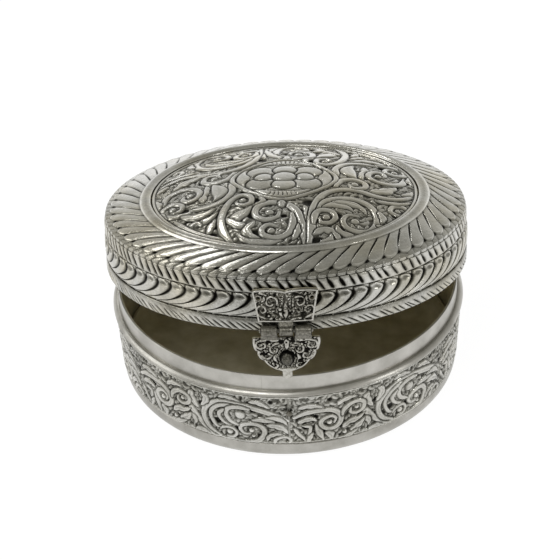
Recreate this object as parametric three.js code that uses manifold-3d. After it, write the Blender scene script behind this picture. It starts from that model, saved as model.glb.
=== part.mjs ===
// Round embossed metal box with a hinged domed lid and a swinging front hasp.
// Millimetres, +Z up, the foot stands on Z = 0, the hasp faces -Y and the hinge is at +Y.
// The body is four turned sheets: a smooth bottom dish, a scroll-work wall strip,
// a rolled ledge ring and a plain neck that the lid closes over.
// The lid stands a little ajar, with the hasp hanging free from its plate.
import * as THREE from 'three';
import { mergeVertices } from 'three/addons/utils/BufferGeometryUtils.js';
import Module from 'manifold-3d';

const wasm = await Module();
wasm.setup();

// Clearances
const SEAT_GAP = 0.3;          // between two soldered or seated pieces
const LID_GAP = 0.3;           // lid rim to ledge when the lid is shut
const LID_PLAY = 1.65;         // lid skirt to neck, on the radius
const PIN_PLAY = 0.3;          // hinge pin in its knuckles, on the radius
const KNUCKLE_PLAY = 0.45;     // between two knuckles, along the pin

// Body
const SHEET = 0.85;            // sheet of the body
const FOOT_RADIUS = 60.35;     // where the bottom corner meets the wall
const FOOT_CORNER = 5.7;       // rounded bottom corner
const DISH_HEIGHT = 7.4;       // top of the smooth bottom dish
const DISH_LAP = 3.2;          // dish flange inside the wall strip
const WALL_FLARE = 1.85;       // scroll wall just under the ledge, outside the foot radius
const LEDGE_HEIGHT = 31.2;     // top of the ledge that carries the lid
const LEDGE_THICK = 1.6;       // rolled ledge ring
const LEDGE_PROUD = 0.8;       // ledge ring outside the wall
const NECK_RISE = 6.1;         // neck above the ledge
const NECK_DEPTH = 2.2;        // neck below the ledge ring
const NECK_SHEET = 0.8;
const NECK_ROLL = 0.35;        // softened top edge of the neck

// Lid
const LID_SHEET = 0.8;         // skirt sheet
const SKIRT_HEIGHT = 18.4;     // skirt from its rim to the top sheet's seat
const RIM_ROPE_HEIGHT = 4.6;
const RIM_ROPE_THICK = 0.95;
const SHOULDER_ROPE_HEIGHT = 4.3;
const SHOULDER_ROPE_THICK = 0.95;
const ROPE_CUT = 0.5;          // depth of the strokes in both ropes
const LEAF_BULGE = 1.55;       // leaf band crest outside the skirt sheet
const LEAF_CUT = 0.6;          // depth between two leaves of the band
const SIDE_LEAVES = 67;
const TOP_LEAVES = 58;
const TOP_SHEET = 0.9;         // embossed top sheet
const TIP_INSET = 0.28;        // tips of the top leaves inside the rope's crest
const TOP_RISE = 4.9;          // sloping leaf zone, from its edge to the ring groove
const RING_RADIUS = 49.4;      // middle of the half-round ring
const RING_HALF = 1.75;        // half the ring's width
const RING_RISE = 1.25;        // ring above its outer groove
const DOME_RISE = 7.4;         // dome above the ring's inner groove
const TIP_CUT = 1.0;           // notches between the leaf tips, on the radius
const GADROON_CUT = 0.75;      // depth between two leaves of the top

// Hinge and hasp hardware
const KNUCKLE_RADIUS = 1.9;
const PIN_RADIUS = 0.75;
const PIN_OVERHANG = 0.55;     // pin past the last knuckle
const MIDDLE_KNUCKLE = 5.0;    // length of the middle knuckle
const SIDE_KNUCKLE = 5.75;     // length of each outer knuckle
const PLATE_THICK = 1.45;
const PLATE_FIELD = 0.45;      // sunk field inside the plate's raised edge
const PLATE_EDGE = 0.75;       // width of that raised edge
const PLATE_TOP_HALF = 11.2;
const PLATE_LOW_HALF = 9.3;
const PLATE_LOW = 4.3;         // plate's lower edge above the lid rim
const PLATE_HIGH = 15.6;       // plate's top corners above the lid rim
const PLATE_ARCH = 0.8;        // rise of the two arches on its top edge
const PLATE_HOLE_X = 9.0;
const PLATE_HOLE_Z = 13.35;
const PLATE_HOLE_RADIUS = 0.75;
const LATCH_PIN_RISE = 1.5;    // hasp pin above the lid rim
const HINGE_LEAF_LENGTH = 11.3;
const HINGE_LEAF_THICK = 1.3;
const HINGE_LEAF_DROP = 3.4;   // top of the body leaf below the hinge pin
const HASP_THICK = 1.2;
const HASP_FIELD = 0.4;
const HASP_TOP = 2.75;         // hasp leaf starts this far below the pin
const HASP_LOBE_HALF = 11.4;   // half width at the upper lobes
const HASP_SHIELD = 16.5;      // pin to the bottom of the shield
const HASP_TIP = 19.9;         // pin to the tip of the pull tab
const TAB_HALF = 1.7;
const BOSS_DROP = 11.2;        // pin to the hollow boss
const BOSS_RADIUS = 2.45;
const BOSS_HOLLOW = 1.75;
const BUTTON_RADIUS = 1.15;    // catch button on the body
const BUTTON_SHANK = 0.8;

// Angles, degrees
const LID_AJAR = 11.2;         // lid as it stands
const HASP_LEAN = 11.2;        // hasp to the lid's wall as it hangs
const HASP_SHUT = 15.2;        // hasp to the lid's wall pressed on the button

// Facets
const TURN_FACETS = 56;
const KNUCKLE_FACETS = 16;
const BORE_FACETS = 12;

// Sizes that follow from the ones above
const TAU = Math.PI * 2;
const rad = THREE.MathUtils.degToRad;
const WALL_TOP = LEDGE_HEIGHT - LEDGE_THICK - SEAT_GAP;
const WALL_RADIUS = FOOT_RADIUS + WALL_FLARE;
const wallRadius = (z) => FOOT_RADIUS + WALL_FLARE * (z - FOOT_CORNER) / (WALL_TOP - FOOT_CORNER);
const NECK_LOW = WALL_TOP - NECK_DEPTH;
const NECK_RADIUS = wallRadius(NECK_LOW) - SHEET - SEAT_GAP;
const LEDGE_RADIUS = WALL_RADIUS + LEDGE_PROUD;
const SKIRT_INNER = NECK_RADIUS + LID_PLAY;
const SKIRT_OUTER = SKIRT_INNER + LID_SHEET;
const ROPE_SEAT = SKIRT_OUTER + SEAT_GAP;
const TOP_EDGE_RADIUS = ROPE_SEAT + SHOULDER_ROPE_THICK - TIP_INSET;
const LEAF_CREST = SKIRT_OUTER + LEAF_BULGE;
const LEAF_LOW = RIM_ROPE_HEIGHT + SEAT_GAP;
const LEAF_HIGH = SKIRT_HEIGHT - SHOULDER_ROPE_HEIGHT - SEAT_GAP;
const TOP_SEAT = SKIRT_HEIGHT + SEAT_GAP;
const LID_BASE = LEDGE_HEIGHT + LID_GAP;
const PLATE_BACK = LEAF_CREST + SEAT_GAP;
const LATCH_AXIS = LEAF_CREST + SEAT_GAP + KNUCKLE_RADIUS;
const HINGE_AXIS = LEAF_CREST + SEAT_GAP + KNUCKLE_RADIUS;
const HINGE_HEIGHT = LEDGE_HEIGHT + LID_GAP / 2;
const SIDE_KNUCKLE_X = MIDDLE_KNUCKLE / 2 + KNUCKLE_PLAY + SIDE_KNUCKLE / 2;
const PIN_LENGTH = 2 * (SIDE_KNUCKLE_X + SIDE_KNUCKLE / 2 + PIN_OVERHANG);
const BUTTON_HEIGHT = LID_BASE + LATCH_PIN_RISE - BOSS_DROP * Math.cos(rad(HASP_SHUT));
const BUTTON_TOP = LATCH_AXIS - BOSS_DROP * Math.sin(rad(HASP_SHUT))
  - HASP_THICK / 2 / Math.cos(rad(HASP_SHUT)) - SEAT_GAP;

// Meshes

// One closed body from loose triangles: welded, without slivers, faces outward.
function tidy(geometry) {
  for (const name of Object.keys(geometry.attributes)) {
    if (name !== 'position') {
      geometry.deleteAttribute(name);
    }
  }
  const welded = mergeVertices(geometry, 1e-4);
  const p = welded.attributes.position;
  const source = welded.index.array;
  let index = [];
  let volume = 0;
  const a = new THREE.Vector3();
  const b = new THREE.Vector3();
  const c = new THREE.Vector3();
  for (let i = 0; i < source.length; i += 3) {
    const [u, v, w] = [source[i], source[i + 1], source[i + 2]];
    if (u === v || v === w || w === u) {
      continue;
    }
    index.push(u, v, w);
    a.fromBufferAttribute(p, u);
    b.fromBufferAttribute(p, v);
    c.fromBufferAttribute(p, w);
    volume += a.dot(b.cross(c));
  }
  if (volume < 0) {
    const flipped = [];
    for (let i = 0; i < index.length; i += 3) {
      flipped.push(index[i], index[i + 2], index[i + 1]);
    }
    index = flipped;
  }
  const out = new THREE.BufferGeometry();
  out.setAttribute('position', new THREE.BufferAttribute(new Float32Array(p.array), 3));
  out.setIndex(index);
  return out;
}

function solid(geometry) {
  const g = tidy(geometry);
  return new wasm.Manifold(new wasm.Mesh({
    numProp: 3,
    vertProperties: g.attributes.position.array,
    triVerts: new Uint32Array(g.index.array),
  }));
}

function fromSolid(body) {
  const m = body.getMesh();
  const g = new THREE.BufferGeometry();
  g.setAttribute('position', new THREE.BufferAttribute(new Float32Array(m.vertProperties), 3));
  g.setIndex(Array.from(m.triVerts));
  return g;
}

// A sheet turned about Z from its (radius, height) section.
function turned(section, facets = TURN_FACETS) {
  const points = section.map(([r, z]) => new THREE.Vector2(Math.max(r, 0), z));
  const g = new THREE.LatheGeometry(points, facets);
  g.rotateX(Math.PI / 2);
  return tidy(g);
}

// Quarter or part arc in a section, as [radius, height] points.
function arc(cr, cz, rr, rz, from, to, steps) {
  return Array.from({ length: steps + 1 }, (_, i) => {
    const t = rad(from + (to - from) * i / steps);
    return [cr + rr * Math.cos(t), cz + rz * Math.sin(t)];
  });
}

// A plain ring of points about Z.
function ring(r, z, facets = TURN_FACETS) {
  return Array.from({ length: facets }, (_, i) => {
    const t = TAU * i / facets;
    return new THREE.Vector3(r * Math.cos(t), r * Math.sin(t), z);
  });
}

// A ring with a repeating relief. Each repeat has one point per sample:
// u is its place in the repeat, lift its height, in and out of the surface.
// drift turns the whole ring by that many repeats, which slants the strokes.
function reliefRing(r, z, lean, repeats, samples, depth, drift) {
  const out = [];
  for (let k = 0; k < repeats; k += 1) {
    for (const { u, lift } of samples) {
      const t = TAU * (k + u + drift) / repeats;
      const rise = (lift - 1) * depth;
      const rr = r + rise * Math.cos(lean);
      out.push(new THREE.Vector3(rr * Math.cos(t), rr * Math.sin(t), z + rise * Math.sin(lean)));
    }
  }
  out.stroked = true;
  return out;
}

// Skin over a row of rings. Rings with the same relief are joined point to point,
// others by walking both round together. around closes the row on itself.
function skin(rings, around) {
  const position = [];
  const index = [];
  const starts = rings.map((points) => {
    const at = position.length / 3;
    points.forEach((q) => position.push(q.x, q.y, q.z));
    return at;
  });
  const pairs = around ? rings.length : rings.length - 1;
  for (let k = 0; k < pairs; k += 1) {
    const A = rings[k];
    const B = rings[(k + 1) % rings.length];
    const a0 = starts[k];
    const b0 = starts[(k + 1) % rings.length];
    if (A.length === 1 || B.length === 1) {
      const many = A.length === 1 ? B : A;
      for (let i = 0; i < many.length; i += 1) {
        const j = (i + 1) % many.length;
        if (A.length === 1) {
          index.push(a0, b0 + j, b0 + i);
        } else {
          index.push(a0 + i, a0 + j, b0);
        }
      }
      continue;
    }
    if (A.length === B.length && Boolean(A.stroked) === Boolean(B.stroked)) {
      for (let i = 0; i < A.length; i += 1) {
        const j = (i + 1) % A.length;
        index.push(a0 + i, a0 + j, b0 + j, a0 + i, b0 + j, b0 + i);
      }
      continue;
    }
    const turnOf = (q) => Math.atan2(q.y, q.x);
    const gap = (x, y) => ((x - y) % TAU + TAU + Math.PI) % TAU - Math.PI;
    const start = turnOf(A[0]);
    let j0 = 0;
    B.forEach((q, j) => {
      if (Math.abs(gap(turnOf(q), start)) < Math.abs(gap(turnOf(B[j0]), start))) {
        j0 = j;
      }
    });
    const lead = gap(turnOf(B[j0]), start);
    const alongA = A.map((q, i) => (i === 0 ? 0 : (gap(turnOf(q), start) + TAU) % TAU));
    alongA.push(TAU);
    const alongB = B.map((_, j) => {
      const q = B[(j0 + j) % B.length];
      return j === 0 ? lead : lead + (gap(turnOf(q), start + lead) + TAU) % TAU;
    });
    alongB.push(lead + TAU);
    let i = 0;
    let j = 0;
    while (i < A.length || j < B.length) {
      const nextA = i < A.length ? alongA[i] + alongA[i + 1] : Infinity;
      const nextB = j < B.length ? alongB[j] + alongB[j + 1] : Infinity;
      const pa = a0 + i % A.length;
      const pb = b0 + (j0 + j) % B.length;
      if (nextA <= nextB) {
        index.push(pa, a0 + (i + 1) % A.length, pb);
        i += 1;
      } else {
        index.push(pa, b0 + (j0 + j + 1) % B.length, pb);
        j += 1;
      }
    }
  }
  const g = new THREE.BufferGeometry();
  g.setAttribute('position', new THREE.Float32BufferAttribute(position, 3));
  g.setIndex(index);
  return tidy(g);
}

// Rod along X.
function rod(radius, length, facets) {
  const g = new THREE.CylinderGeometry(radius, radius, length, facets);
  g.rotateZ(Math.PI / 2);
  return g;
}

// A prism along X from an outline in (y, z).
function prismX(outline, x0, x1) {
  const shape = new THREE.Shape(outline.map(([y, z]) => new THREE.Vector2(y, z)));
  const g = new THREE.ExtrudeGeometry(shape, { depth: x1 - x0, bevelEnabled: false });
  g.applyMatrix4(new THREE.Matrix4().set(
    0, 0, 1, x0,
    1, 0, 0, 0,
    0, 1, 0, 0,
    0, 0, 0, 1,
  ));
  return g;
}

// A cast plate bent round a drum about Z, on the -Y side.
// section(x) gives its closed (radius, height) outline at that place along the arc,
// narrow(h) the share of the full width at a height.
function bentPlate(stations, section, narrow, drum) {
  const position = [];
  const index = [];
  let n = 0;
  stations.forEach((x) => {
    const outline = section(x);
    n = outline.length;
    outline.forEach(([r, h]) => {
      const t = x * narrow(h) / drum;
      position.push(r * Math.sin(t), -r * Math.cos(t), h);
    });
  });
  for (let s = 0; s < stations.length - 1; s += 1) {
    for (let k = 0; k < n; k += 1) {
      const m = (k + 1) % n;
      const [a, b, c, d] = [s * n + k, s * n + m, (s + 1) * n + m, (s + 1) * n + k];
      index.push(a, c, b, a, d, c);
    }
  }
  const last = (stations.length - 1) * n;
  const flat = section(stations[0]).map(([r, h]) => new THREE.Vector2(r, h));
  for (const [a, b, c] of THREE.ShapeUtils.triangulateShape(flat, [])) {
    index.push(a, b, c);
    index.push(last + a, last + c, last + b);
  }
  const g = new THREE.BufferGeometry();
  g.setAttribute('position', new THREE.Float32BufferAttribute(position, 3));
  g.setIndex(index);
  return tidy(g);
}

// Body

// Smooth bottom dish: flat foot, rounded corner, and a flange inside the wall strip.
function baseDish() {
  const lap = wallRadius(DISH_HEIGHT) - SHEET - SEAT_GAP;
  const inner = FOOT_CORNER - SHEET;
  return turned([
    [0, 0],
    [FOOT_RADIUS - FOOT_CORNER, 0],
    ...arc(FOOT_RADIUS - FOOT_CORNER, FOOT_CORNER, FOOT_CORNER, FOOT_CORNER, -90, 0, 5).slice(1),
    [wallRadius(DISH_HEIGHT), DISH_HEIGHT],
    [lap, DISH_HEIGHT],
    [lap, DISH_HEIGHT + DISH_LAP],
    [lap - SHEET, DISH_HEIGHT + DISH_LAP],
    [lap - SHEET, FOOT_CORNER],
    ...arc(lap - SHEET - inner, FOOT_CORNER, inner, inner, 0, -90, 3).slice(1),
    [0, SHEET],
  ]);
}

// Scroll-work wall strip: a slightly flared band with a fine raised line at each edge.
function baseWall() {
  const low = DISH_HEIGHT + SEAT_GAP;
  const line = 0.25;
  const r = wallRadius;
  return turned([
    [r(low), low],
    [r(low) + line, low + 0.45],
    [r(low + 1), low + 1],
    [r(WALL_TOP - 1.6), WALL_TOP - 1.6],
    [r(WALL_TOP) + line, WALL_TOP - 0.8],
    [r(WALL_TOP), WALL_TOP],
    [r(WALL_TOP) - SHEET, WALL_TOP],
    [r(low) - SHEET, low],
    [r(low), low],
  ]);
}

// Rolled ledge ring that the lid's rim stands on.
function ledgeRing() {
  const low = LEDGE_HEIGHT - LEDGE_THICK;
  const inner = NECK_RADIUS + SEAT_GAP;
  const half = LEDGE_THICK / 2;
  return turned([
    [inner, low],
    ...arc(LEDGE_RADIUS - half, low + half, half, half, -90, 90, 3),
    [inner, LEDGE_HEIGHT],
    [inner, low],
  ]);
}

// Plain neck strip, its top edge softened.
function neckCollar() {
  const outer = NECK_RADIUS;
  const inner = NECK_RADIUS - NECK_SHEET;
  const top = LEDGE_HEIGHT + NECK_RISE;
  return turned([
    [inner, NECK_LOW],
    [outer, NECK_LOW],
    [outer, top - NECK_ROLL],
    [outer - NECK_ROLL * 0.6, top],
    [inner, top],
    [inner, NECK_LOW],
  ]);
}

// Low catch button that the hasp's hollow boss closes over.
function catchButton() {
  const foot = wallRadius(BUTTON_HEIGHT) + SEAT_GAP;
  const g = new THREE.LatheGeometry([
    [0, foot],
    [BUTTON_SHANK, foot],
    [BUTTON_SHANK, foot + (BUTTON_TOP - foot) * 0.3],
    ...arc(0, foot + (BUTTON_TOP - foot) * 0.35, BUTTON_RADIUS, (BUTTON_TOP - foot) * 0.65, 0, 90, 3),
  ].map(([r, y]) => new THREE.Vector2(Math.max(r, 0), y)), BORE_FACETS);
  g.rotateX(Math.PI);
  g.translate(0, 0, BUTTON_HEIGHT);
  return tidy(g);
}

// Lid, in its own frame: Z = 0 is the rim, the lid's axis is Z.

// Skirt: a plain band behind both ropes, swelling into a band of overlapping leaves.
// Each leaf has a round head near the top and sweeps down and back to the lower edge.
function lidSkirt() {
  const leaf = [{ u: 0, lift: 0 }, { u: 0.3, lift: 1 }];
  const row = (r, z, depth, drift) => reliefRing(r, z, 0, SIDE_LEAVES, leaf, depth, drift);
  const span = LEAF_HIGH - LEAF_LOW;
  return skin([
    ring(SKIRT_OUTER, 0),
    ring(SKIRT_OUTER, LEAF_LOW),
    row(LEAF_CREST - 0.75, LEAF_LOW + 0.15, LEAF_CUT * 0.2, 0),
    row(LEAF_CREST - 0.15, LEAF_LOW + span * 0.18, LEAF_CUT * 0.8, 1.05),
    row(LEAF_CREST, LEAF_LOW + span * 0.44, LEAF_CUT, 1.8),
    row(LEAF_CREST, LEAF_LOW + span * 0.76, LEAF_CUT, 2.15),
    row(LEAF_CREST - 0.7, LEAF_HIGH - 0.15, LEAF_CUT * 0.35, 1.9),
    ring(SKIRT_OUTER, LEAF_HIGH),
    ring(SKIRT_OUTER, SKIRT_HEIGHT),
    ring(SKIRT_INNER, SKIRT_HEIGHT),
    ring(SKIRT_INNER + LID_SHEET * 0.6, LEAF_HIGH - LID_SHEET),
    ring(SKIRT_INNER + LID_SHEET * 0.6, LEAF_LOW + LID_SHEET),
    ring(SKIRT_INNER, 0),
  ], true);
}

// A strip of rope: slanted strokes from edge to edge.
function rope(low, height, thick, strokes, slant) {
  const stroke = [{ u: 0, lift: 0 }, { u: 0.5, lift: 1 }];
  const crest = ROPE_SEAT + thick;
  return skin([
    ring(ROPE_SEAT, low),
    reliefRing(crest, low, 0, strokes, stroke, ROPE_CUT, 0),
    reliefRing(crest, low + height, 0, strokes, stroke, ROPE_CUT, -slant),
    ring(ROPE_SEAT, low + height),
  ], true);
}

// Embossed top: scalloped leaf tips, sloping swept leaves, half-round ring and dome.
function lidTop() {
  const leaf = [{ u: 0, lift: 0 }, { u: 0.34, lift: 1 }, { u: 0.7, lift: 0.85 }];
  const grooveR = RING_RADIUS + RING_HALF;
  const grooveZ = TOP_SEAT + TOP_RISE;
  const innerR = RING_RADIUS - RING_HALF;
  const innerZ = grooveZ + 0.45;
  const edgeR = TOP_EDGE_RADIUS;
  const slopeR = (s) => edgeR - 0.35 + (grooveR + 0.2 - edgeR + 0.35) * s;
  const slopeZ = (s) => TOP_SEAT + 1.25 + (grooveZ - TOP_SEAT - 1.25) * s + 1.1 * s * (1 - s);
  const lean = Math.PI / 2 - Math.atan(TOP_RISE / (edgeR - grooveR)) * 0.8;
  const row = (s, depth, drift) => reliefRing(slopeR(s), slopeZ(s), lean, TOP_LEAVES, leaf, depth, drift);
  const tip = (r, z, drift) => reliefRing(r, z, 0, TOP_LEAVES, leaf, TIP_CUT, drift);
  const dome = (r) => innerZ + DOME_RISE * (1 - (r / innerR) ** 2);
  const under = (s) => slopeZ(s) - GADROON_CUT - TOP_SHEET / 2;
  return skin([
    ring(SKIRT_INNER, TOP_SEAT),
    ring(SKIRT_OUTER - 0.15, TOP_SEAT),
    tip(edgeR - 0.45, TOP_SEAT, -0.12),
    tip(edgeR, TOP_SEAT + 0.6, -0.1),
    row(0.02, GADROON_CUT * 0.8, -0.08),
    row(0.3, GADROON_CUT, 0),
    row(0.65, GADROON_CUT, 0.4),
    row(0.98, GADROON_CUT * 0.4, 1.15),
    ring(grooveR, grooveZ - 0.1),
    ...arc(RING_RADIUS, grooveZ, RING_HALF, RING_RISE, 25, 155, 3)
      .map(([r, z], i) => ring(r, z + 0.45 * i / 3)),
    ring(innerR - 0.1, innerZ - 0.1),
    ...[0.82, 0.54, 0.26].map((share) => ring(innerR * share, dome(innerR * share))),
    [new THREE.Vector3(0, 0, dome(0))],
    [new THREE.Vector3(0, 0, dome(0) - TOP_SHEET)],
    ...[0.4, 0.72].map((share) => ring(innerR * share, dome(innerR * share) - TOP_SHEET, 36)),
    ring(innerR - 1.5, innerZ - TOP_SHEET, 36),
    ring(slopeR(1), under(1), TOP_LEAVES),
    ring(slopeR(0.5), under(0.5), TOP_LEAVES),
  ], true);
}

// Hardware

// Knuckle with its bore, at x along the pin's line.
function knuckle(x, length) {
  const tube = rod(KNUCKLE_RADIUS, length, KNUCKLE_FACETS);
  tube.translate(x, 0, 0);
  return solid(tube);
}

function bore(half) {
  return solid(rod(PIN_RADIUS + PIN_PLAY, half * 2, BORE_FACETS));
}

function pin() {
  const tip = PIN_RADIUS * 0.4;
  const g = new THREE.LatheGeometry([
    [0, -PIN_LENGTH / 2],
    [PIN_RADIUS - tip, -PIN_LENGTH / 2],
    [PIN_RADIUS, -PIN_LENGTH / 2 + tip],
    [PIN_RADIUS, PIN_LENGTH / 2 - tip],
    [PIN_RADIUS - tip, PIN_LENGTH / 2],
    [0, PIN_LENGTH / 2],
  ].map(([r, y]) => new THREE.Vector2(r, y)), BORE_FACETS);
  g.rotateZ(Math.PI / 2);
  return tidy(g);
}

// Plate outline across its width: raised edge all round, sunk field, two arches on top.
function castPlate(back, thick, low, high, arch, drum) {
  const half = PLATE_TOP_HALF;
  const edge = PLATE_EDGE / half;
  const shares = [-1, -1 + edge, -0.78, -0.55, -0.3, -0.12, 0, 0.12, 0.3, 0.55, 0.78, 1 - edge, 1];
  const top = (share) => high + arch * Math.abs(Math.sin(Math.PI * share)) ** 0.6;
  const front = back + thick;
  const section = (x) => {
    const share = x / half;
    const t = top(share);
    const sunk = Math.abs(share) > 1 - edge * 1.01 ? 0 : PLATE_FIELD;
    return [
      [back, low],
      [front, low],
      [front, low + PLATE_EDGE * 0.9],
      [front - sunk, low + PLATE_EDGE * 1.1],
      [front - sunk, t - PLATE_EDGE * 1.1],
      [front, t - PLATE_EDGE * 0.9],
      [front, t],
      [back, t],
    ];
  };
  const narrow = (h) => {
    const s = THREE.MathUtils.clamp((h - low) / (high - low), 0, 1);
    return (PLATE_LOW_HALF + (PLATE_TOP_HALF - PLATE_LOW_HALF) * s) / PLATE_TOP_HALF;
  };
  return bentPlate(shares.map((s) => s * half), section, narrow, drum);
}

// Latch plate on the lid's front, with the middle knuckle under it.
function latchPlate() {
  let body = solid(castPlate(PLATE_BACK, PLATE_THICK, PLATE_LOW, PLATE_HIGH, PLATE_ARCH, PLATE_BACK));
  const half = MIDDLE_KNUCKLE / 2;
  const shift = [0, -LATCH_AXIS, LATCH_PIN_RISE];
  const web = prismX([
    [-(PLATE_BACK + PLATE_THICK), PLATE_LOW + 0.4],
    [-(PLATE_BACK + 0.1), PLATE_LOW + 0.4],
    [-(LATCH_AXIS - KNUCKLE_RADIUS * 0.85), LATCH_PIN_RISE],
    [-(LATCH_AXIS + KNUCKLE_RADIUS * 0.5), LATCH_PIN_RISE],
  ], -half, half);
  body = body.add(solid(web));
  body = body.add(knuckle(0, MIDDLE_KNUCKLE).translate(shift));
  body = body.subtract(bore(half + 1).translate(shift));
  for (const side of [-1, 1]) {
    const t = side * PLATE_HOLE_X / PLATE_BACK;
    const hole = new THREE.CylinderGeometry(PLATE_HOLE_RADIUS, PLATE_HOLE_RADIUS, PLATE_THICK * 3, 10);
    hole.translate(0, -(PLATE_BACK + PLATE_THICK / 2), 0);
    hole.rotateZ(t);
    hole.translate(0, 0, PLATE_HOLE_Z);
    body = body.subtract(solid(hole));
  }
  return fromSolid(body);
}

// Hinge leaf on the lid's back, modelled on the front side and turned round.
function hingeLidLeaf() {
  const low = HINGE_HEIGHT - LID_BASE + PLATE_LOW;
  const half = MIDDLE_KNUCKLE / 2;
  const pinZ = HINGE_HEIGHT - LID_BASE;
  let body = solid(castPlate(
    PLATE_BACK, HINGE_LEAF_THICK, low, low + HINGE_LEAF_LENGTH, PLATE_ARCH, PLATE_BACK));
  const web = prismX([
    [-(PLATE_BACK + HINGE_LEAF_THICK), low + 0.4],
    [-(PLATE_BACK + 0.1), low + 0.4],
    [-(HINGE_AXIS - KNUCKLE_RADIUS * 0.85), pinZ],
    [-(HINGE_AXIS + KNUCKLE_RADIUS * 0.5), pinZ],
  ], -half, half);
  const shift = [0, -HINGE_AXIS, pinZ];
  body = body.add(solid(web));
  body = body.add(knuckle(0, MIDDLE_KNUCKLE).translate(shift));
  body = body.subtract(bore(half + 1).translate(shift));
  const g = fromSolid(body);
  g.rotateZ(Math.PI);
  return g;
}

// Hinge leaf on the body's back: a plate on the wall, cranked out past the ledge
// to the two outer knuckles.
function hingeBodyLeaf() {
  const high = HINGE_HEIGHT - HINGE_LEAF_DROP;
  const low = high - HINGE_LEAF_LENGTH;
  const half = PLATE_TOP_HALF;
  const back = (z) => wallRadius(z) + SEAT_GAP + 0.25;
  const section = () => [
    [back(low), low],
    [back(low) + HINGE_LEAF_THICK, low],
    [back(high) + HINGE_LEAF_THICK, high],
    [back(high), high],
  ];
  const shares = [-1, -0.75, -0.5, -0.25, 0, 0.25, 0.5, 0.75, 1];
  let body = solid(bentPlate(
    shares.map((s) => s * half), section, () => 1, back(high)));
  const clear = LEDGE_RADIUS + SEAT_GAP + 0.1;
  const wallBack = back(high) + 0.15;
  const shift = [0, -HINGE_AXIS, HINGE_HEIGHT];
  for (const side of [-1, 1]) {
    const x0 = side * SIDE_KNUCKLE_X - SIDE_KNUCKLE / 2;
    const sag = 0.75;
    const web = prismX([
      [-(wallBack - sag), high - 2.6],
      [-(wallBack - sag), high - 0.4],
      [-clear, WALL_TOP - 0.1],
      [-clear, HINGE_HEIGHT - KNUCKLE_RADIUS * 0.7],
      [-HINGE_AXIS, HINGE_HEIGHT - 0.2],
      [-(HINGE_AXIS + KNUCKLE_RADIUS * 0.75), HINGE_HEIGHT - KNUCKLE_RADIUS * 0.6],
      [-(back(high) + HINGE_LEAF_THICK), high - 2.6],
    ], x0, x0 + SIDE_KNUCKLE);
    body = body.add(solid(web));
    body = body.add(knuckle(side * SIDE_KNUCKLE_X, SIDE_KNUCKLE).translate(shift));
  }
  body = body.subtract(bore(SIDE_KNUCKLE_X + SIDE_KNUCKLE).translate(shift));
  const g = fromSolid(body);
  g.rotateZ(Math.PI);
  return g;
}

// Shield outline of the hasp in (x, z), pin at the origin, drawn smaller by inset.
function haspShape(inset) {
  const w = HASP_LOBE_HALF;
  const end = HASP_SHIELD;
  const middle = (HASP_TOP + end) / 2;
  const kx = 1 - inset / w;
  const kz = 1 - inset / ((end - HASP_TOP) / 2);
  const X = (x) => x * kx;
  const Z = (s) => -(middle + (s - middle) * kz);
  const right = [
    ['line', w, HASP_TOP],
    ['curve', w * 1.06, HASP_TOP + 2.6, w * 0.95, HASP_TOP + 5.0],
    ['line', w * 0.87, HASP_TOP + 5.3],
    ['curve', w * 0.93, end - 7.0, w * 0.78, end - 4.9],
    ['line', w * 0.7, end - 4.6],
    ['curve', w * 0.56, end - 1.2, TAB_HALF + 0.5, end],
  ];
  const shape = new THREE.Shape();
  shape.moveTo(X(0), Z(HASP_TOP));
  right.forEach(([kind, ...v]) => {
    if (kind === 'line') {
      shape.lineTo(X(v[0]), Z(v[1]));
    } else {
      shape.quadraticCurveTo(X(v[0]), Z(v[1]), X(v[2]), Z(v[3]));
    }
  });
  if (inset === 0) {
    shape.lineTo(TAB_HALF, -end - 0.4);
    shape.lineTo(TAB_HALF, -HASP_TIP + 0.9);
    shape.quadraticCurveTo(TAB_HALF, -HASP_TIP, 0, -HASP_TIP);
    shape.quadraticCurveTo(-TAB_HALF, -HASP_TIP, -TAB_HALF, -HASP_TIP + 0.9);
    shape.lineTo(-TAB_HALF, -end - 0.4);
  }
  shape.lineTo(X(-TAB_HALF - 0.5), Z(end));
  shape.quadraticCurveTo(X(-w * 0.56), Z(end - 1.2), X(-w * 0.7), Z(end - 4.6));
  shape.lineTo(X(-w * 0.78), Z(end - 4.9));
  shape.quadraticCurveTo(X(-w * 0.93), Z(end - 7.0), X(-w * 0.87), Z(HASP_TOP + 5.3));
  shape.lineTo(X(-w * 0.95), Z(HASP_TOP + 5.0));
  shape.quadraticCurveTo(X(-w * 1.06), Z(HASP_TOP + 2.6), X(-w), Z(HASP_TOP));
  return shape;
}

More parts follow.
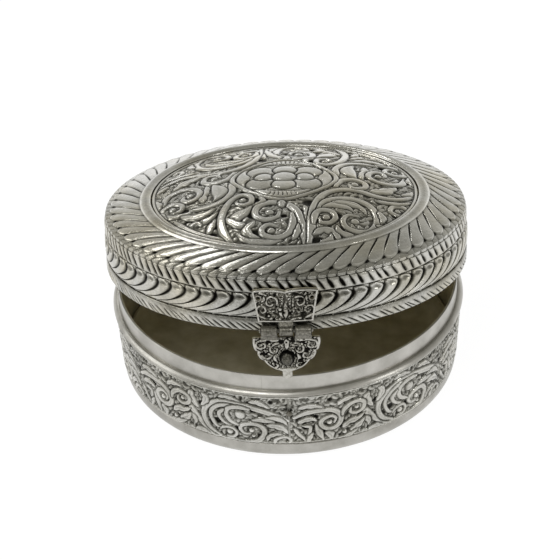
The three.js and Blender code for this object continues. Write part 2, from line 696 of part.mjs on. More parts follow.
// Hasp: lobed shield with a sunk field, hollow boss, pull tab and two knuckles.
function hasp() {
  const half = HASP_THICK / 2;
  const plate = new THREE.ExtrudeGeometry(haspShape(0), {
    depth: HASP_THICK, bevelEnabled: false, curveSegments: 5,
  });
  // outline in (x, y) becomes (x, z); the extrusion runs along -Y
  plate.rotateX(Math.PI / 2);
  plate.translate(0, half, 0);
  let body = solid(plate);
  const field = new THREE.ExtrudeGeometry(haspShape(1.0), {
    depth: HASP_FIELD + 1, bevelEnabled: false, curveSegments: 4,
  });
  field.rotateX(Math.PI / 2);
  field.translate(0, -half + HASP_FIELD, 0);
  body = body.subtract(solid(field));
  const dome = new THREE.SphereGeometry(BOSS_RADIUS, 16, 8);
  dome.translate(0, -half + HASP_FIELD, -BOSS_DROP);
  const slab = new THREE.BoxGeometry(BOSS_RADIUS * 3, BOSS_RADIUS * 2, BOSS_RADIUS * 3);
  slab.translate(0, half - HASP_THICK + BOSS_RADIUS + HASP_FIELD + 0.2, -BOSS_DROP);
  body = body.add(solid(dome).subtract(solid(slab)));
  const hollow = new THREE.SphereGeometry(BOSS_HOLLOW, 14, 8);
  hollow.translate(0, -half + HASP_FIELD, -BOSS_DROP);
  const mouth = new THREE.CylinderGeometry(BOSS_HOLLOW, BOSS_HOLLOW, HASP_THICK * 2, 14);
  mouth.translate(0, -half + HASP_FIELD + HASP_THICK, -BOSS_DROP);
  body = body.subtract(solid(hollow)).subtract(solid(mouth));
  for (const side of [-1, 1]) {
    const x0 = side * SIDE_KNUCKLE_X - SIDE_KNUCKLE / 2;
    const web = prismX([
      [half, 0],
      [-KNUCKLE_RADIUS * 0.8, 0],
      [-half, -HASP_TOP - 0.6],
      [half, -HASP_TOP - 0.6],
    ], x0, x0 + SIDE_KNUCKLE);
    body = body.add(solid(web));
    body = body.add(knuckle(side * SIDE_KNUCKLE_X, SIDE_KNUCKLE));
  }
  body = body.subtract(bore(SIDE_KNUCKLE_X + SIDE_KNUCKLE));
  return fromSolid(body);
}

// Scene graph

const metal = (hex, roughness) => new THREE.MeshStandardMaterial({
  color: hex, roughness, metalness: 1,
});
const WORN = metal(0xb4b2aa, 0.34);      // embossed white metal, worn bright
const DARK = metal(0x8f8c82, 0.42);      // oxidised in the hollows
const SATIN = metal(0xbcb9b2, 0.4);      // plain neck and rings
const CAST = metal(0x9a978f, 0.38);      // cast hinge and latch pieces

function piece(name, geometry, material) {
  const g = geometry.index ? geometry.toNonIndexed() : geometry;
  g.computeVertexNormals();
  const mesh = new THREE.Mesh(g, material);
  mesh.name = name;
  return mesh;
}

const box = new THREE.Group();
box.add(piece('base_dish', baseDish(), SATIN));
box.add(piece('base_wall', baseWall(), DARK));
box.add(piece('ledge_ring', ledgeRing(), SATIN));
box.add(piece('neck_collar', neckCollar(), SATIN));
box.add(piece('catch_button', catchButton(), CAST));
box.add(piece('hinge_body_leaf', hingeBodyLeaf(), CAST));
const hingePin = piece('hinge_pin', pin(), CAST);
hingePin.position.set(0, HINGE_AXIS, HINGE_HEIGHT);
box.add(hingePin);

// The lid turns about the hinge pin; its own frame has the rim at Z = 0.
const lidTurn = new THREE.Group();
lidTurn.position.set(0, HINGE_AXIS, HINGE_HEIGHT);
lidTurn.rotation.x = -rad(LID_AJAR);
const lid = new THREE.Group();
lid.position.set(0, -HINGE_AXIS, LID_BASE - HINGE_HEIGHT);
lidTurn.add(lid);
lid.add(piece('lid_skirt', lidSkirt(), WORN));
lid.add(piece('rim_rope', rope(0, RIM_ROPE_HEIGHT, RIM_ROPE_THICK, SIDE_LEAVES * 2, 1.6), WORN));
lid.add(piece('shoulder_rope', rope(
  SKIRT_HEIGHT - SHOULDER_ROPE_HEIGHT, SHOULDER_ROPE_HEIGHT, SHOULDER_ROPE_THICK, TOP_LEAVES * 2, 0.8), WORN));
lid.add(piece('lid_top', lidTop(), WORN));
lid.add(piece('latch_plate', latchPlate(), CAST));
lid.add(piece('hinge_lid_leaf', hingeLidLeaf(), CAST));
const latchPin = piece('latch_pin', pin(), CAST);
latchPin.position.set(0, -LATCH_AXIS, LATCH_PIN_RISE);
lid.add(latchPin);

// The hasp hangs from the latch pin.
const haspTurn = new THREE.Group();
haspTurn.position.set(0, -LATCH_AXIS, LATCH_PIN_RISE);
haspTurn.rotation.x = rad(HASP_LEAN);
haspTurn.add(piece('hasp_leaf', hasp(), CAST));
lid.add(haspTurn);

box.add(lidTurn);

export default box;
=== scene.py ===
import math

import bmesh
import bpy
import numpy as np
from mathutils import Matrix
from mathutils import Vector


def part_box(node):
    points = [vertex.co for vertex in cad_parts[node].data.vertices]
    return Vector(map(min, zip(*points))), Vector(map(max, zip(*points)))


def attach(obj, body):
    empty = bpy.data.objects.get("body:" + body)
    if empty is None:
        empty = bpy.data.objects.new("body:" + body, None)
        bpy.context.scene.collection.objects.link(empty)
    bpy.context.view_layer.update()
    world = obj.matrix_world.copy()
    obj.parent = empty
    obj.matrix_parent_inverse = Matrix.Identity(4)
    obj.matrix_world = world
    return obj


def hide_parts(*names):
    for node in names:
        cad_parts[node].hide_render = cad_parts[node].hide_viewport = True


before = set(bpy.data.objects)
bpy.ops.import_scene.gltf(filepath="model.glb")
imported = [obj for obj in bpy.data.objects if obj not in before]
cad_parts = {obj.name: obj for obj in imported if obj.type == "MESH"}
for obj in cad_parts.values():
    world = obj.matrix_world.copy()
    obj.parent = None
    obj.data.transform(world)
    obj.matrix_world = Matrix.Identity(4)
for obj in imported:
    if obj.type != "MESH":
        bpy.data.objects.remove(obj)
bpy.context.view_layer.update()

MM = 0.001
TAU = 2.0 * math.pi

# Body, as the solids have it
SHEET = 0.85
FOOT_RADIUS = 60.35
FOOT_CORNER = 5.7
FOOT_FACE = 0.08
DISH_HEIGHT = 7.4
DISH_LAP = 3.2
WALL_FLARE = 1.85
WALL_LOW = 7.7
WALL_TOP = 29.3
WALL_CREST = 0.35
WALL_CARVED = 0.9
LEDGE_LOW = 29.6
LEDGE_HEIGHT = 31.2
LEDGE_RADIUS = 63.0
NECK_RADIUS = 60.88
NECK_SHEET = 0.8
NECK_LOW = 27.1
NECK_TOP = 37.3
TURNED_FACETS = 256

# Lid, in its own frame: Z = 0 is its rim
SKIRT_INNER = 62.53
SKIRT_OUTER = 63.33
SKIRT_HEIGHT = 18.4
ROPE_SEAT = 63.63
ROPE_CREST = 64.58
LEAF_LOW = 4.9
LEAF_HIGH = 14.08
LEAF_CARVED = 0.72
RIM_ROPE_HEIGHT = 4.6
SHOULDER_ROPE_HEIGHT = 4.3
SIDE_LEAVES = 67
TOP_LEAVES = 58
TOP_SEAT = 18.7
TOP_EDGE = 64.3
TOP_STRIP = 1.25
GROOVE_HEIGHT = 23.6
RING_RADIUS = 49.6
RING_HALF = 1.97
RING_RISE = 1.15
RING_INNER = 47.72
DOME_FOOT = 24.05
DOME_RISE = 7.4
DOME_RADIUS = 47.65
DOME_CARVED = 0.75
DOME_SHEET = 1.1
MEDALLION_EDGE = 47.55
MEDALLION_TURN = math.radians(-1.7)

# Latch and hinge
PIN_AXIS = 67.0775
HINGE_HEIGHT = 31.35
LID_BASE = 31.5
LATCH_PIN_RISE = 1.5
LID_AJAR = 11.2
HASP_LEAN = 11.2
KNUCKLE_RADIUS = 1.9
BORE_RADIUS = 1.05
MIDDLE_KNUCKLE = 5.0
SIDE_KNUCKLE = 5.75
SIDE_KNUCKLE_X = 5.825
PLATE_BACK = 65.1775
PLATE_THICK = 1.45
PLATE_TOP_HALF = 11.2
PLATE_LOW_HALF = 9.3
PLATE_LOW = 4.3
PLATE_HIGH = 15.6
PLATE_ARCH = 0.8
PLATE_CARVED = 0.65
CAST_EDGE = 0.3
HINGE_LEAF_THICK = 1.3
HASP_THICK = 1.2
HASP_TOP = 2.75
HASP_LOBE_HALF = 11.4
HASP_SHIELD = 16.5
HASP_TIP = 19.9
HASP_CARVED = 0.5
TAB_HALF = 1.7
TAB_ROUND = 0.9
BOSS_DROP = 11.2
BOSS_RADIUS = 2.45
BOSS_HOLLOW = 1.75

# the middle of the latch plate at rest, in metres
LATCH_SPOT = sum((Vector(corner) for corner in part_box("latch_plate")), Vector()) / 2

# Frames of the bodies at rest
LID_PLACE = (
    Matrix.Translation(Vector((0, PIN_AXIS, HINGE_HEIGHT)) * MM)
    @ Matrix.Rotation(math.radians(-LID_AJAR), 4, "X")
    @ Matrix.Translation(Vector((0, -PIN_AXIS, LID_BASE - HINGE_HEIGHT)) * MM)
)
HASP_PLACE = (
    LID_PLACE
    @ Matrix.Translation(Vector((0, -PIN_AXIS, LATCH_PIN_RISE)) * MM)
    @ Matrix.Rotation(math.radians(HASP_LEAN), 4, "X")
)
PLACES = {"base": Matrix.Identity(4), "lid": LID_PLACE, "hasp": HASP_PLACE}


def wall_radius(z):
    return FOOT_RADIUS + WALL_FLARE * (z - FOOT_CORNER) / (WALL_TOP - FOOT_CORNER)


def smooth(low, high, x):
    t = np.clip((x - low) / (high - low), 0.0, 1.0)
    return t * t * (3.0 - 2.0 * t)


# Finishes

def linear(code):
    # sRGB hex to the linear colour that the shaders take
    out = []
    for k in (0, 2, 4):
        c = int(code[k:k + 2], 16) / 255.0
        out.append(c / 12.92 if c <= 0.04045 else ((c + 0.055) / 1.055) ** 2.4)
    return (*out, 1.0)


def add(tree, kind, links=None, values=None, stops=(), **settings):
    # one node with its settings, fixed values, ramp stops (hex colours or greys) and incoming
    # links; a node given as the source of a link stands for its first output
    node = tree.nodes.new(kind)
    for key, value in settings.items():
        setattr(node, key, value)
    for key, value in (values or {}).items():
        node.inputs[key].default_value = value
    for key, source in (links or {}).items():
        first = source.outputs[0] if isinstance(source, bpy.types.Node) else source
        tree.links.new(first, node.inputs[key])
    if stops:
        ramp = node.color_ramp.elements
        while len(ramp) < len(stops):
            ramp.new(0.5)
        for element, (place, value) in zip(ramp, stops):
            element.position = place
            element.color = linear(value) if isinstance(value, str) else (value, value, value, 1.0)
    return node


def cleared_tree(owner):
    owner.use_nodes = True
    owner.node_tree.nodes.clear()
    return owner.node_tree


def rubbed_value(tree, place, cloud, specks, toned, dusky):
    # how bright the metal was rubbed: 0 is the black of the dip, 1 is polish

    # specks of black left in the pits, about 0.7 mm apart
    speck = add(tree, "ShaderNodeTexNoise", {"Vector": place},
                {"Scale": 1000 / 0.7, "Detail": 3.0, "Roughness": 0.7})
    if toned:
        tone = add(tree, "ShaderNodeAttribute", attribute_name="tone").outputs["Fac"]
    else:
        # small plain fittings carry no tone, the clouds stand in for it
        tone = add(tree, "ShaderNodeMapRange", {"Value": cloud},
                   {"From Min": 0.3, "From Max": 0.7, "To Min": 0.5, "To Max": 0.9})
    rubbed = add(tree, "ShaderNodeMath", {0: cloud, 2: tone}, {1: 0.5}, operation="MULTIPLY_ADD")
    rubbed = add(tree, "ShaderNodeMath", {0: speck, 2: rubbed}, {1: specks}, operation="MULTIPLY_ADD")
    rubbed = add(tree, "ShaderNodeMath", {0: rubbed}, {1: 0.25 + specks / 2}, operation="SUBTRACT")
    # the metal beside the latch is made darker, fading out between 12 and 34 mm from it
    beside = add(tree, "ShaderNodeVectorMath", {0: place}, {1: LATCH_SPOT}, operation="DISTANCE")
    beside = add(tree, "ShaderNodeMapRange", {"Value": beside.outputs["Value"]},
                 {"From Min": 12 * MM, "From Max": 34 * MM, "To Min": -dusky, "To Max": 0.0})
    return add(tree, "ShaderNodeMath", {0: rubbed, 1: beside}, operation="ADD")


def white_metal(name, tints, gloss, dent_mm, dent, specks=0.3, toned=True, warm=0.0, dusky=0.0):
    # White metal is dipped until it goes black, then rubbed bright on what stands proud.
    # tone is 0 in the hollows and 1 on the crests; inside is 1 on the unpolished inner side.
    material = bpy.data.materials.new(name)
    tree = cleared_tree(material)
    place = add(tree, "ShaderNodeTexCoord").outputs["Object"]
    # clouds of darker and lighter rubbing, about 9 mm wide
    cloud = add(tree, "ShaderNodeTexNoise", {"Vector": place},
                {"Scale": 1000 / 9.0, "Detail": 4.0, "Roughness": 0.6})
    rubbed = rubbed_value(tree, place, cloud, specks, toned, dusky)
    color = add(tree, "ShaderNodeValToRGB", {"Fac": rubbed}, stops=tints)
    # patches of straw colour, about 30 mm wide: painted warm reflections of a brownish room
    patch = add(tree, "ShaderNodeTexNoise", {"Vector": place},
                {"Scale": 1000 / 30.0, "Detail": 3.0, "Roughness": 0.65})
    patch = add(tree, "ShaderNodeMapRange", {"Value": patch},
                {"From Min": 0.42, "From Max": 0.66, "To Max": warm})
    color = add(tree, "ShaderNodeMix", {0: patch, 6: color}, {7: linear("e6d8ae")},
                data_type="RGBA", blend_type="MULTIPLY")
    inside = add(tree, "ShaderNodeAttribute", attribute_name="inside").outputs["Fac"]
    dull = add(tree, "ShaderNodeValToRGB", {"Fac": cloud}, stops=[(0.3, "b9b192"), (0.7, "dbd4bb")])
    shade = add(tree, "ShaderNodeMix", {0: inside, 6: color.outputs[2], 7: dull}, data_type="RGBA")
    rough = add(tree, "ShaderNodeValToRGB", {"Fac": rubbed}, stops=gloss)
    rough = add(tree, "ShaderNodeMath", {0: inside, 2: rough}, {1: 0.2}, operation="MULTIPLY_ADD")
    # shallow dents from the punch or the mould, under the polish
    dents = add(tree, "ShaderNodeTexNoise", {"Vector": place},
                {"Scale": 1000 / dent_mm, "Detail": 3.0, "Roughness": 0.55})
    bump = add(tree, "ShaderNodeBump", {"Height": dents}, {"Strength": dent, "Distance": 0.1 * MM})
    # the bare side has a dull skin of scale and old flux, so it hardly mirrors
    metal = add(tree, "ShaderNodeMath", {0: inside}, {1: -0.85, 2: 1.0}, operation="MULTIPLY_ADD")
    shader = add(tree, "ShaderNodeBsdfPrincipled", {"Base Color": shade.outputs[2], "Roughness": rough,
                                                    "Normal": bump, "Metallic": metal})
    add(tree, "ShaderNodeOutputMaterial", {"Surface": shader})
    return material


def embossed_metal(part, warm, dusky=0.0):
    return white_metal(
        "embossed_white_metal_" + part + "_dipped_and_rubbed",
        [(0.0, "0b0a08"), (0.2, "2a2924"), (0.45, "72716a"), (0.7, "b1b0aa"), (1.0, "dad9d4")],
        [(0.0, 0.55), (0.5, 0.28), (1.0, 0.15)], 1.4, 0.7, specks=0.45, warm=warm, dusky=dusky)


def turned_metal():
    return white_metal(
        "spun_white_metal_satin_polished",
        [(0.0, "2f2e29"), (0.4, "74726b"), (0.72, "9b9992"), (1.0, "c4c2bc")],
        [(0.0, 0.55), (0.6, 0.44), (1.0, 0.32)], 3.5, 0.25, specks=0.08)


def cast_metal():
    return white_metal(
        "cast_white_metal_dipped_and_rubbed",
        [(0.0, "080706"), (0.25, "1d1c18"), (0.5, "5c5a52"), (0.75, "8f8c83"), (1.0, "bfbdb6")],
        [(0.0, 0.55), (0.5, 0.36), (1.0, 0.24)], 0.8, 0.6, specks=0.8)


def plain_cast_metal():
    return white_metal(
        "cast_white_metal_plain",
        [(0.0, "22211c"), (0.45, "636057"), (0.75, "8d8a81"), (1.0, "b0ada5")],
        [(0.0, 0.5), (1.0, 0.34)], 0.9, 0.4, toned=False)


# One metal for each material slot
METALS = {
    "embossed_body": embossed_metal("body", 0.12),
    "embossed_lid": embossed_metal("lid", 0.4, 0.18),
    "plain_metal": turned_metal(),
    "cast_fittings": cast_metal(),
}


# Chased ornament, drawn once as a height map of one repeat

def flow(points, per=7):
    # smooth line through the points
    p = np.asarray(points, float)
    ends = np.vstack([2 * p[0] - p[1], p, 2 * p[-1] - p[-2]])
    t = np.linspace(0.0, 1.0, per, endpoint=False)[:, None]
    out = []
    for i in range(len(p) - 1):
        a, b, c, d = ends[i:i + 4]
        out.append(0.5 * (2 * b + (c - a) * t + (2 * a - 5 * b + 4 * c - d) * t ** 2
                          + (3 * b - a - 3 * c + d) * t ** 3))
    out.append(p[-1:])
    return np.vstack(out)


def soften(field, sigma):
    # Gaussian blur of a height map
    reach = int(math.ceil(3 * sigma))
    k = np.exp(-0.5 * (np.arange(-reach, reach + 1) / sigma) ** 2)
    k /= k.sum()
    for side in range(2):
        n = len(field)
        wide = np.pad(field, ((reach, reach), (0, 0)), mode="edge")
        field = sum(weight * wide[i:i + n] for i, weight in enumerate(k)).T
    return field


class Chasing:
    # rise is 0 on the ground and 1 on a finished ridge; every stroke is drawn at each copy,
    # which is a turn and a shift
    def __init__(self, low, high, step, copies=((0.0, 0.0),)):
        self.low = np.array(low, float)
        self.step = step
        size = np.ceil((np.array(high, float) - self.low) / step).astype(int) + 1
        self.rise = np.zeros((size[1], size[0]))
        self.copies = copies
        self.tone = None

    def stroke(self, points, wide, end=None, top=1.0, rim=0.3, moat=0.3, vein=0.0, leaf=0, per=7):
        # a ridge along the points: half widths, heights of crest and edge, the strip cleared
        # beside it, the depth of its middle groove and the lobes of a leaf
        path = flow(points, per) if len(points) > 2 else np.asarray(points, float)
        run = np.concatenate([[0.0], np.cumsum(np.hypot(*np.diff(path, axis=0).T))])
        t = run / run[-1]
        if leaf:
            swell = np.sin(math.pi * np.clip(t, 0.01, 0.99) ** 0.8)
            width = wide * swell * (1.0 - 0.28 * (0.5 + 0.5 * np.cos(TAU * leaf * t))) + 0.08
        elif end is None:
            width = np.full_like(t, wide)
        else:
            width = wide + (end - wide) * t
            width = width * (0.5 + 0.5 * smooth(0.0, 0.16, t)) * (0.55 + 0.45 * smooth(1.0, 0.86, t))
        for turn, shift in self.copies:
            c, s = math.cos(turn), math.sin(turn)
            moved = path @ np.array([[c, s], [-s, c]]) + np.array([shift, 0.0])
            self.lay(moved, width, top, rim, moat, vein)

    def window(self, low, high):
        # the cells between two corners, as far as they lie on the map
        size = np.array(self.rise.shape[::-1])
        a = np.clip(np.floor((low - self.low) / self.step).astype(int), 0, size)
        b = np.clip(np.ceil((high - self.low) / self.step).astype(int) + 1, 0, size)
        return a, b

    def lay(self, path, width, top, rim, moat, vein):
        reach = width.max() + moat
        a, b = self.window(path.min(0) - reach, path.max(0) + reach)
        if np.any(a >= b):
            return
        # share is the distance from the middle line in half widths, past the one to the edge
        share = np.full((b - a)[::-1], 9.0)
        past = np.full_like(share, 9.0)
        for p, q, wp, wq in zip(path[:-1], path[1:], width[:-1], width[1:]):
            reach = max(wp, wq) + moat
            u, v = self.window(np.minimum(p, q) - reach, np.maximum(p, q) + reach)
            if np.any(u >= v):
                continue
            x = self.low[0] + self.step * np.arange(u[0], v[0])[None, :]
            z = self.low[1] + self.step * np.arange(u[1], v[1])[:, None]
            d = q - p
            t = np.clip(((x - p[0]) * d[0] + (z - p[1]) * d[1]) / (d @ d + 1e-12), 0.0, 1.0)
            gap = np.hypot(x - p[0] - t * d[0], z - p[1] - t * d[1])
            w = wp + (wq - wp) * t
            at = (slice(u[1] - a[1], v[1] - a[1]), slice(u[0] - a[0], v[0] - a[0]))
            share[at] = np.minimum(share[at], gap / w)
            past[at] = np.minimum(past[at], gap - w)
        body = rim + (top - rim) * np.sqrt(np.clip(1.0 - share ** 2, 0.0, 1.0))
        body -= vein * np.exp(-(share / 0.22) ** 2)
        patch = self.rise[a[1]:b[1], a[0]:b[0]]
        on = share < 1.0
        near = ~on & (past < moat)
        patch[near] = np.minimum(patch[near], 0.0)
        patch[on] = body[on]

    def dot(self, x, z, radius, top, rim=0.3, moat=0.3):
        self.stroke([(x - 0.01, z), (x + 0.01, z)], radius, top=top, rim=rim, moat=moat)

    def pits(self, rows):
        # deep hollows, which the strokes after them run over
        for x, z, radius in rows:
            self.dot(x, z, radius, -0.5, 0.0, 0.1)

    def ground(self, low, high, spacing, top, within=math.inf):
        # small leaves that fill the ground, under everything drawn later
        chance = np.random.default_rng(11)
        for z in np.arange(low[1], high[1], spacing):
            for x in np.arange(low[0], high[0], spacing):
                px, pz = np.array([x, z]) + chance.uniform(-0.35, 0.35, 2) * spacing
                if math.hypot(px, pz) >= within:
                    continue
                a = 1.9 * math.sin(0.17 * px + 0.4) + 2.3 * math.cos(0.15 * pz) + chance.uniform(-0.5, 0.5)
                bend = chance.uniform(0.4, 0.9) * chance.choice([-1.0, 1.0])
                reach = spacing * chance.uniform(0.8, 1.1)
                c, s = math.cos(a), math.sin(a)
                path = [(px + reach * (t * c - bend * (t * t - 0.3) * s),
                         pz + reach * (t * s + bend * (t * t - 0.3) * c)) for t in (-0.9, -0.3, 0.3, 0.9)]
                self.stroke(path, 0.3 * spacing, leaf=1, top=top, rim=0.15, moat=0.16, vein=0.2, per=3)

    def pepper(self, low, high, count, seed):
        # grains and gaps that a coarse mould leaves over the pattern
        chance = np.random.default_rng(seed)
        for n in range(count):
            x, z = chance.uniform(low, high)
            radius = chance.uniform(0.22, 0.5)
            top = chance.choice([1.15, 0.95, -0.2])
            self.dot(x, z, radius, top, min(0.3, top), 0.12)

    def draw(self, strokes, fuller, deep=0.28, veins=1.0):
        # stems taper; leaves and blades swell, with that many lobes, groove and edge height
        looks = {"stem": (0, 0.26, 0.42), "leaf": (3, 0.36, 0.45), "blade": (1, 0.22, 0.45)}
        for kind, points, *sizes in strokes:
            if kind == "bead":
                self.dot(*points[0], sizes[0], 1.05, moat=deep)
            else:
                lobes, vein, rim = looks[kind]
                self.stroke(points, *[size * fuller for size in sizes], leaf=lobes, vein=vein * veins,
                            moat=deep, rim=rim)

    def pairs(self, strokes):
        # curls with two sizes and small leaves with one, on both sides of the middle line
        for side in (-1, 1):
            for points, wide, *end in strokes:
                moved = [(side * x, z) for x, z in points]
                if end:
                    self.stroke(moved, wide, end[0], vein=0.2)
                else:
                    self.stroke(moved, wide, leaf=1)

    def settle(self, soft=0.11, wide=0.8, low=0.42, gain=0.36, crisp=0.6):
        # soft edges of worked metal, and the tone: bright where it stands above what is around
        self.rise = soften(self.rise, soft / self.step)
        around = soften(self.rise, wide / self.step)
        self.tone = np.clip(low + gain * self.rise + crisp * (self.rise - around), 0.0, 1.0)

    def at(self, x, z):
        # rise and tone between the grid's points
        u = np.clip((x - self.low[0]) / self.step, 0, self.rise.shape[1] - 1.001)
        v = np.clip((z - self.low[1]) / self.step, 0, self.rise.shape[0] - 1.001)
        i, j = u.astype(int), v.astype(int)
        fu, fv = u - i, v - j
        out = []
        for field in (self.rise, self.tone):
            low = field[j, i] * (1 - fu) + field[j, i + 1] * fu
            high = field[j + 1, i] * (1 - fu) + field[j + 1, i + 1] * fu
            out.append(low * (1 - fv) + high * fv)
        return out


# Meshes

class Shell:
    # collects patches of points in millimetres with their tone and inner side
    def __init__(self):
        self.points = []
        self.tones = []
        self.insides = []
        self.faces = []
        self.count = 0

    def take(self, points, tone, inside):
        start = self.count
        self.points.append(np.asarray(points, float).reshape(-1, 3))
        for kept, given in ((self.tones, tone), (self.insides, inside)):
            kept.append(np.broadcast_to(np.asarray(given, float), points.shape[:-1]).reshape(-1))
        self.count += len(self.points[-1])
        return start

    def patch(self, points, tone=0.8, inside=0.0, round_rows=False, round_columns=False):
        # a grid of quads; round_rows joins the last row to the first
        start = self.take(points, tone, inside)
        rows, columns = points.shape[:2]
        at = start + np.arange(rows * columns).reshape(rows, columns)
        if round_rows:
            at = np.vstack([at, at[:1]])
        if round_columns:
            at = np.hstack([at, at[:, :1]])
        quads = np.stack([at[:-1, :-1], at[:-1, 1:], at[1:, 1:], at[1:, :-1]], -1).reshape(-1, 4)
        self.faces.extend(quads.tolist())
        return at

    def mesh(self, name):
        made = bpy.data.meshes.new(name)
        points = np.vstack(self.points) * MM
        made.from_pydata(points.tolist(), [], self.faces)
        for key, parts in (("tone", self.tones), ("inside", self.insides)):
            layer = made.attributes.new(key, "FLOAT", "POINT")
            layer.data.foreach_set("value", np.concatenate(parts).astype(np.float32))
        made.update()
        return made


def out_facing(mesh):
    # drops unused points and turns every face outwards
    body = bmesh.new()
    body.from_mesh(mesh)
    loose = [point for point in body.verts if not point.link_faces]
    bmesh.ops.delete(body, geom=loose, context="VERTS")
    bmesh.ops.recalc_face_normals(body, faces=body.faces)
    body.to_mesh(mesh)
    body.free()


def repeat_tree():
    # Repeats one sector round the axis, welds the repeats into one skin, and gives it the
    # slight unevenness of hand work.
    tree = bpy.data.node_groups.new("repeat_round_axis", "GeometryNodeTree")
    sockets = [("Geometry", "Geometry"), ("Repeats", "Int"), ("Weld", "Float"), ("Unevenness", "Float"),
               ("Waves per metre", "Float"), ("Seed", "Float"), ("Material", "Material")]
    for name, kind in sockets:
        tree.interface.new_socket(name=name, in_out="INPUT", socket_type="NodeSocket" + kind)
    tree.interface.new_socket(name="Geometry", in_out="OUTPUT", socket_type="NodeSocketGeometry")
    given = add(tree, "NodeGroupInput").outputs
    spots = add(tree, "GeometryNodeMeshLine", {"Count": given["Repeats"]},
                {"Offset": (0.0, 0.0, 0.0)}, mode="OFFSET")
    number = add(tree, "GeometryNodeInputIndex")
    step = add(tree, "ShaderNodeMath", {1: given["Repeats"]}, {0: TAU}, operation="DIVIDE")
    angle = add(tree, "ShaderNodeMath", {0: number, 1: step}, operation="MULTIPLY")
    euler = add(tree, "ShaderNodeCombineXYZ", {"Z": angle})
    turn = add(tree, "FunctionNodeEulerToRotation", {0: euler})
    copies = add(tree, "GeometryNodeInstanceOnPoints",
                 {"Points": spots, "Instance": given["Geometry"], "Rotation": turn})
    real = add(tree, "GeometryNodeRealizeInstances", {"Geometry": copies})
    weld = add(tree, "GeometryNodeMergeByDistance", {"Geometry": real, "Distance": given["Weld"]})
    waves = add(tree, "ShaderNodeTexNoise", {"W": given["Seed"], "Scale": given["Waves per metre"]},
                {"Detail": 1.0}, noise_dimensions="4D")
    lift = add(tree, "ShaderNodeVectorMath", {0: waves.outputs["Color"]}, {1: (0.5, 0.5, 0.5)},
               operation="SUBTRACT")
    lift = add(tree, "ShaderNodeVectorMath", {0: lift, "Scale": given["Unevenness"]}, operation="SCALE")
    moved = add(tree, "GeometryNodeSetPosition", {"Geometry": weld, "Offset": lift})
    painted = add(tree, "GeometryNodeSetMaterial", {"Geometry": moved, "Material": given["Material"]})
    add(tree, "NodeGroupOutput", {"Geometry": painted})
    return tree


REPEAT = repeat_tree()
SOCKETS = {item.name: item.identifier for item in REPEAT.interface.items_tree if item.in_out == "INPUT"}


def placed(name, data):
    made = bpy.data.objects.new(name, data)
    bpy.context.scene.collection.objects.link(made)
    return made


def repeated(name, shell, count, body, nodes, slot, uneven, seed, crease=0, waves=55.0):
    # a piece from one sector, which the tree above repeats round the axis
    piece = placed(name, shell.mesh(name))
    modifier = piece.modifiers.new("repeat", "NODES")
    modifier.node_group = REPEAT
    given = {"Repeats": count, "Weld": 0.012 * MM, "Unevenness": uneven * MM, "Waves per metre": waves,
             "Seed": seed, "Material": METALS[slot]}
    for key, value in given.items():
        modifier[SOCKETS[key]] = value
    seen = piece.evaluated_get(bpy.context.evaluated_depsgraph_get())
    plain = bpy.data.meshes.new_from_object(seen)
    piece.modifiers.clear()
    piece.data = plain
    plain.name = name
    finished(piece, body, nodes, slot, crease)


def single(name, shell, body, nodes, slot, crease=40, turn=Matrix.Identity(4)):
    finished(placed(name, shell.mesh(name)), body, nodes, slot, crease, turn)


def finished(piece, body, nodes, slot, crease, turn=Matrix.Identity(4)):
    mesh = piece.data
    mesh.materials.clear()
    mesh.materials.append(METALS[slot])
    mesh.shade_smooth()
    if crease:
        mesh.set_sharp_from_angle(angle=math.radians(crease))
    out_facing(mesh)
    mesh.transform(PLACES[body] @ turn)
    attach(piece, body)
    if nodes:
        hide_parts(*nodes)


def polar(radius, azimuth, z):
    radius, azimuth, z = np.broadcast_arrays(radius, azimuth, z)
    return np.stack([radius * np.cos(azimuth), radius * np.sin(azimuth), z], -1)


def arc(cr, cz, rr, rz, start, end, steps):
    t = np.radians(np.linspace(start, end, steps + 1))
    return [(cr + rr * math.cos(a), cz + rz * math.sin(a)) for a in t]


# Body pieces

def turned(name, node, section, tones, insides, seed, closed=True, uneven=0.12):
    # a turned sheet: one facet of it, repeated
    section = np.array(section, float)
    half = math.pi / TURNED_FACETS
    points = polar(section[:, :1], np.array([[-half, half]]), section[:, 1:])
    shell = Shell()
    shell.patch(points, np.array([tones, tones]).T, np.array([insides, insides]).T, round_rows=closed)
    repeated(name, shell, TURNED_FACETS, "base", [node], "plain_metal", uneven, seed, crease=40)


def foot_dish():
    outer = wall_radius(DISH_HEIGHT)
    lap = outer - SHEET - 0.3
    inner = FOOT_CORNER - SHEET
    flat = FOOT_RADIUS - FOOT_CORNER
    outside = [(0.0, FOOT_FACE), (30.0, FOOT_FACE), (flat, FOOT_FACE)]
    outside += arc(flat, FOOT_CORNER, FOOT_CORNER, FOOT_CORNER - FOOT_FACE, -90, 0, 12)[1:]
    outside += [(outer - 0.1, DISH_HEIGHT - 0.3), (outer - 0.35, DISH_HEIGHT)]
    inside = [(lap, DISH_HEIGHT), (lap, DISH_HEIGHT + DISH_LAP), (lap - SHEET, DISH_HEIGHT + DISH_LAP)]
    inside += arc(lap - SHEET - inner, FOOT_CORNER, inner, inner, 0, -90, 8)
    inside += [(25.0, SHEET), (0.0, SHEET)]
    tones = [0.8] * len(outside) + [0.6] * len(inside)
    bare = [0.0] * len(outside) + [1.0] * len(inside)
    turned("foot_dish", "base_dish", outside + inside, tones, bare, 2.0, closed=False)


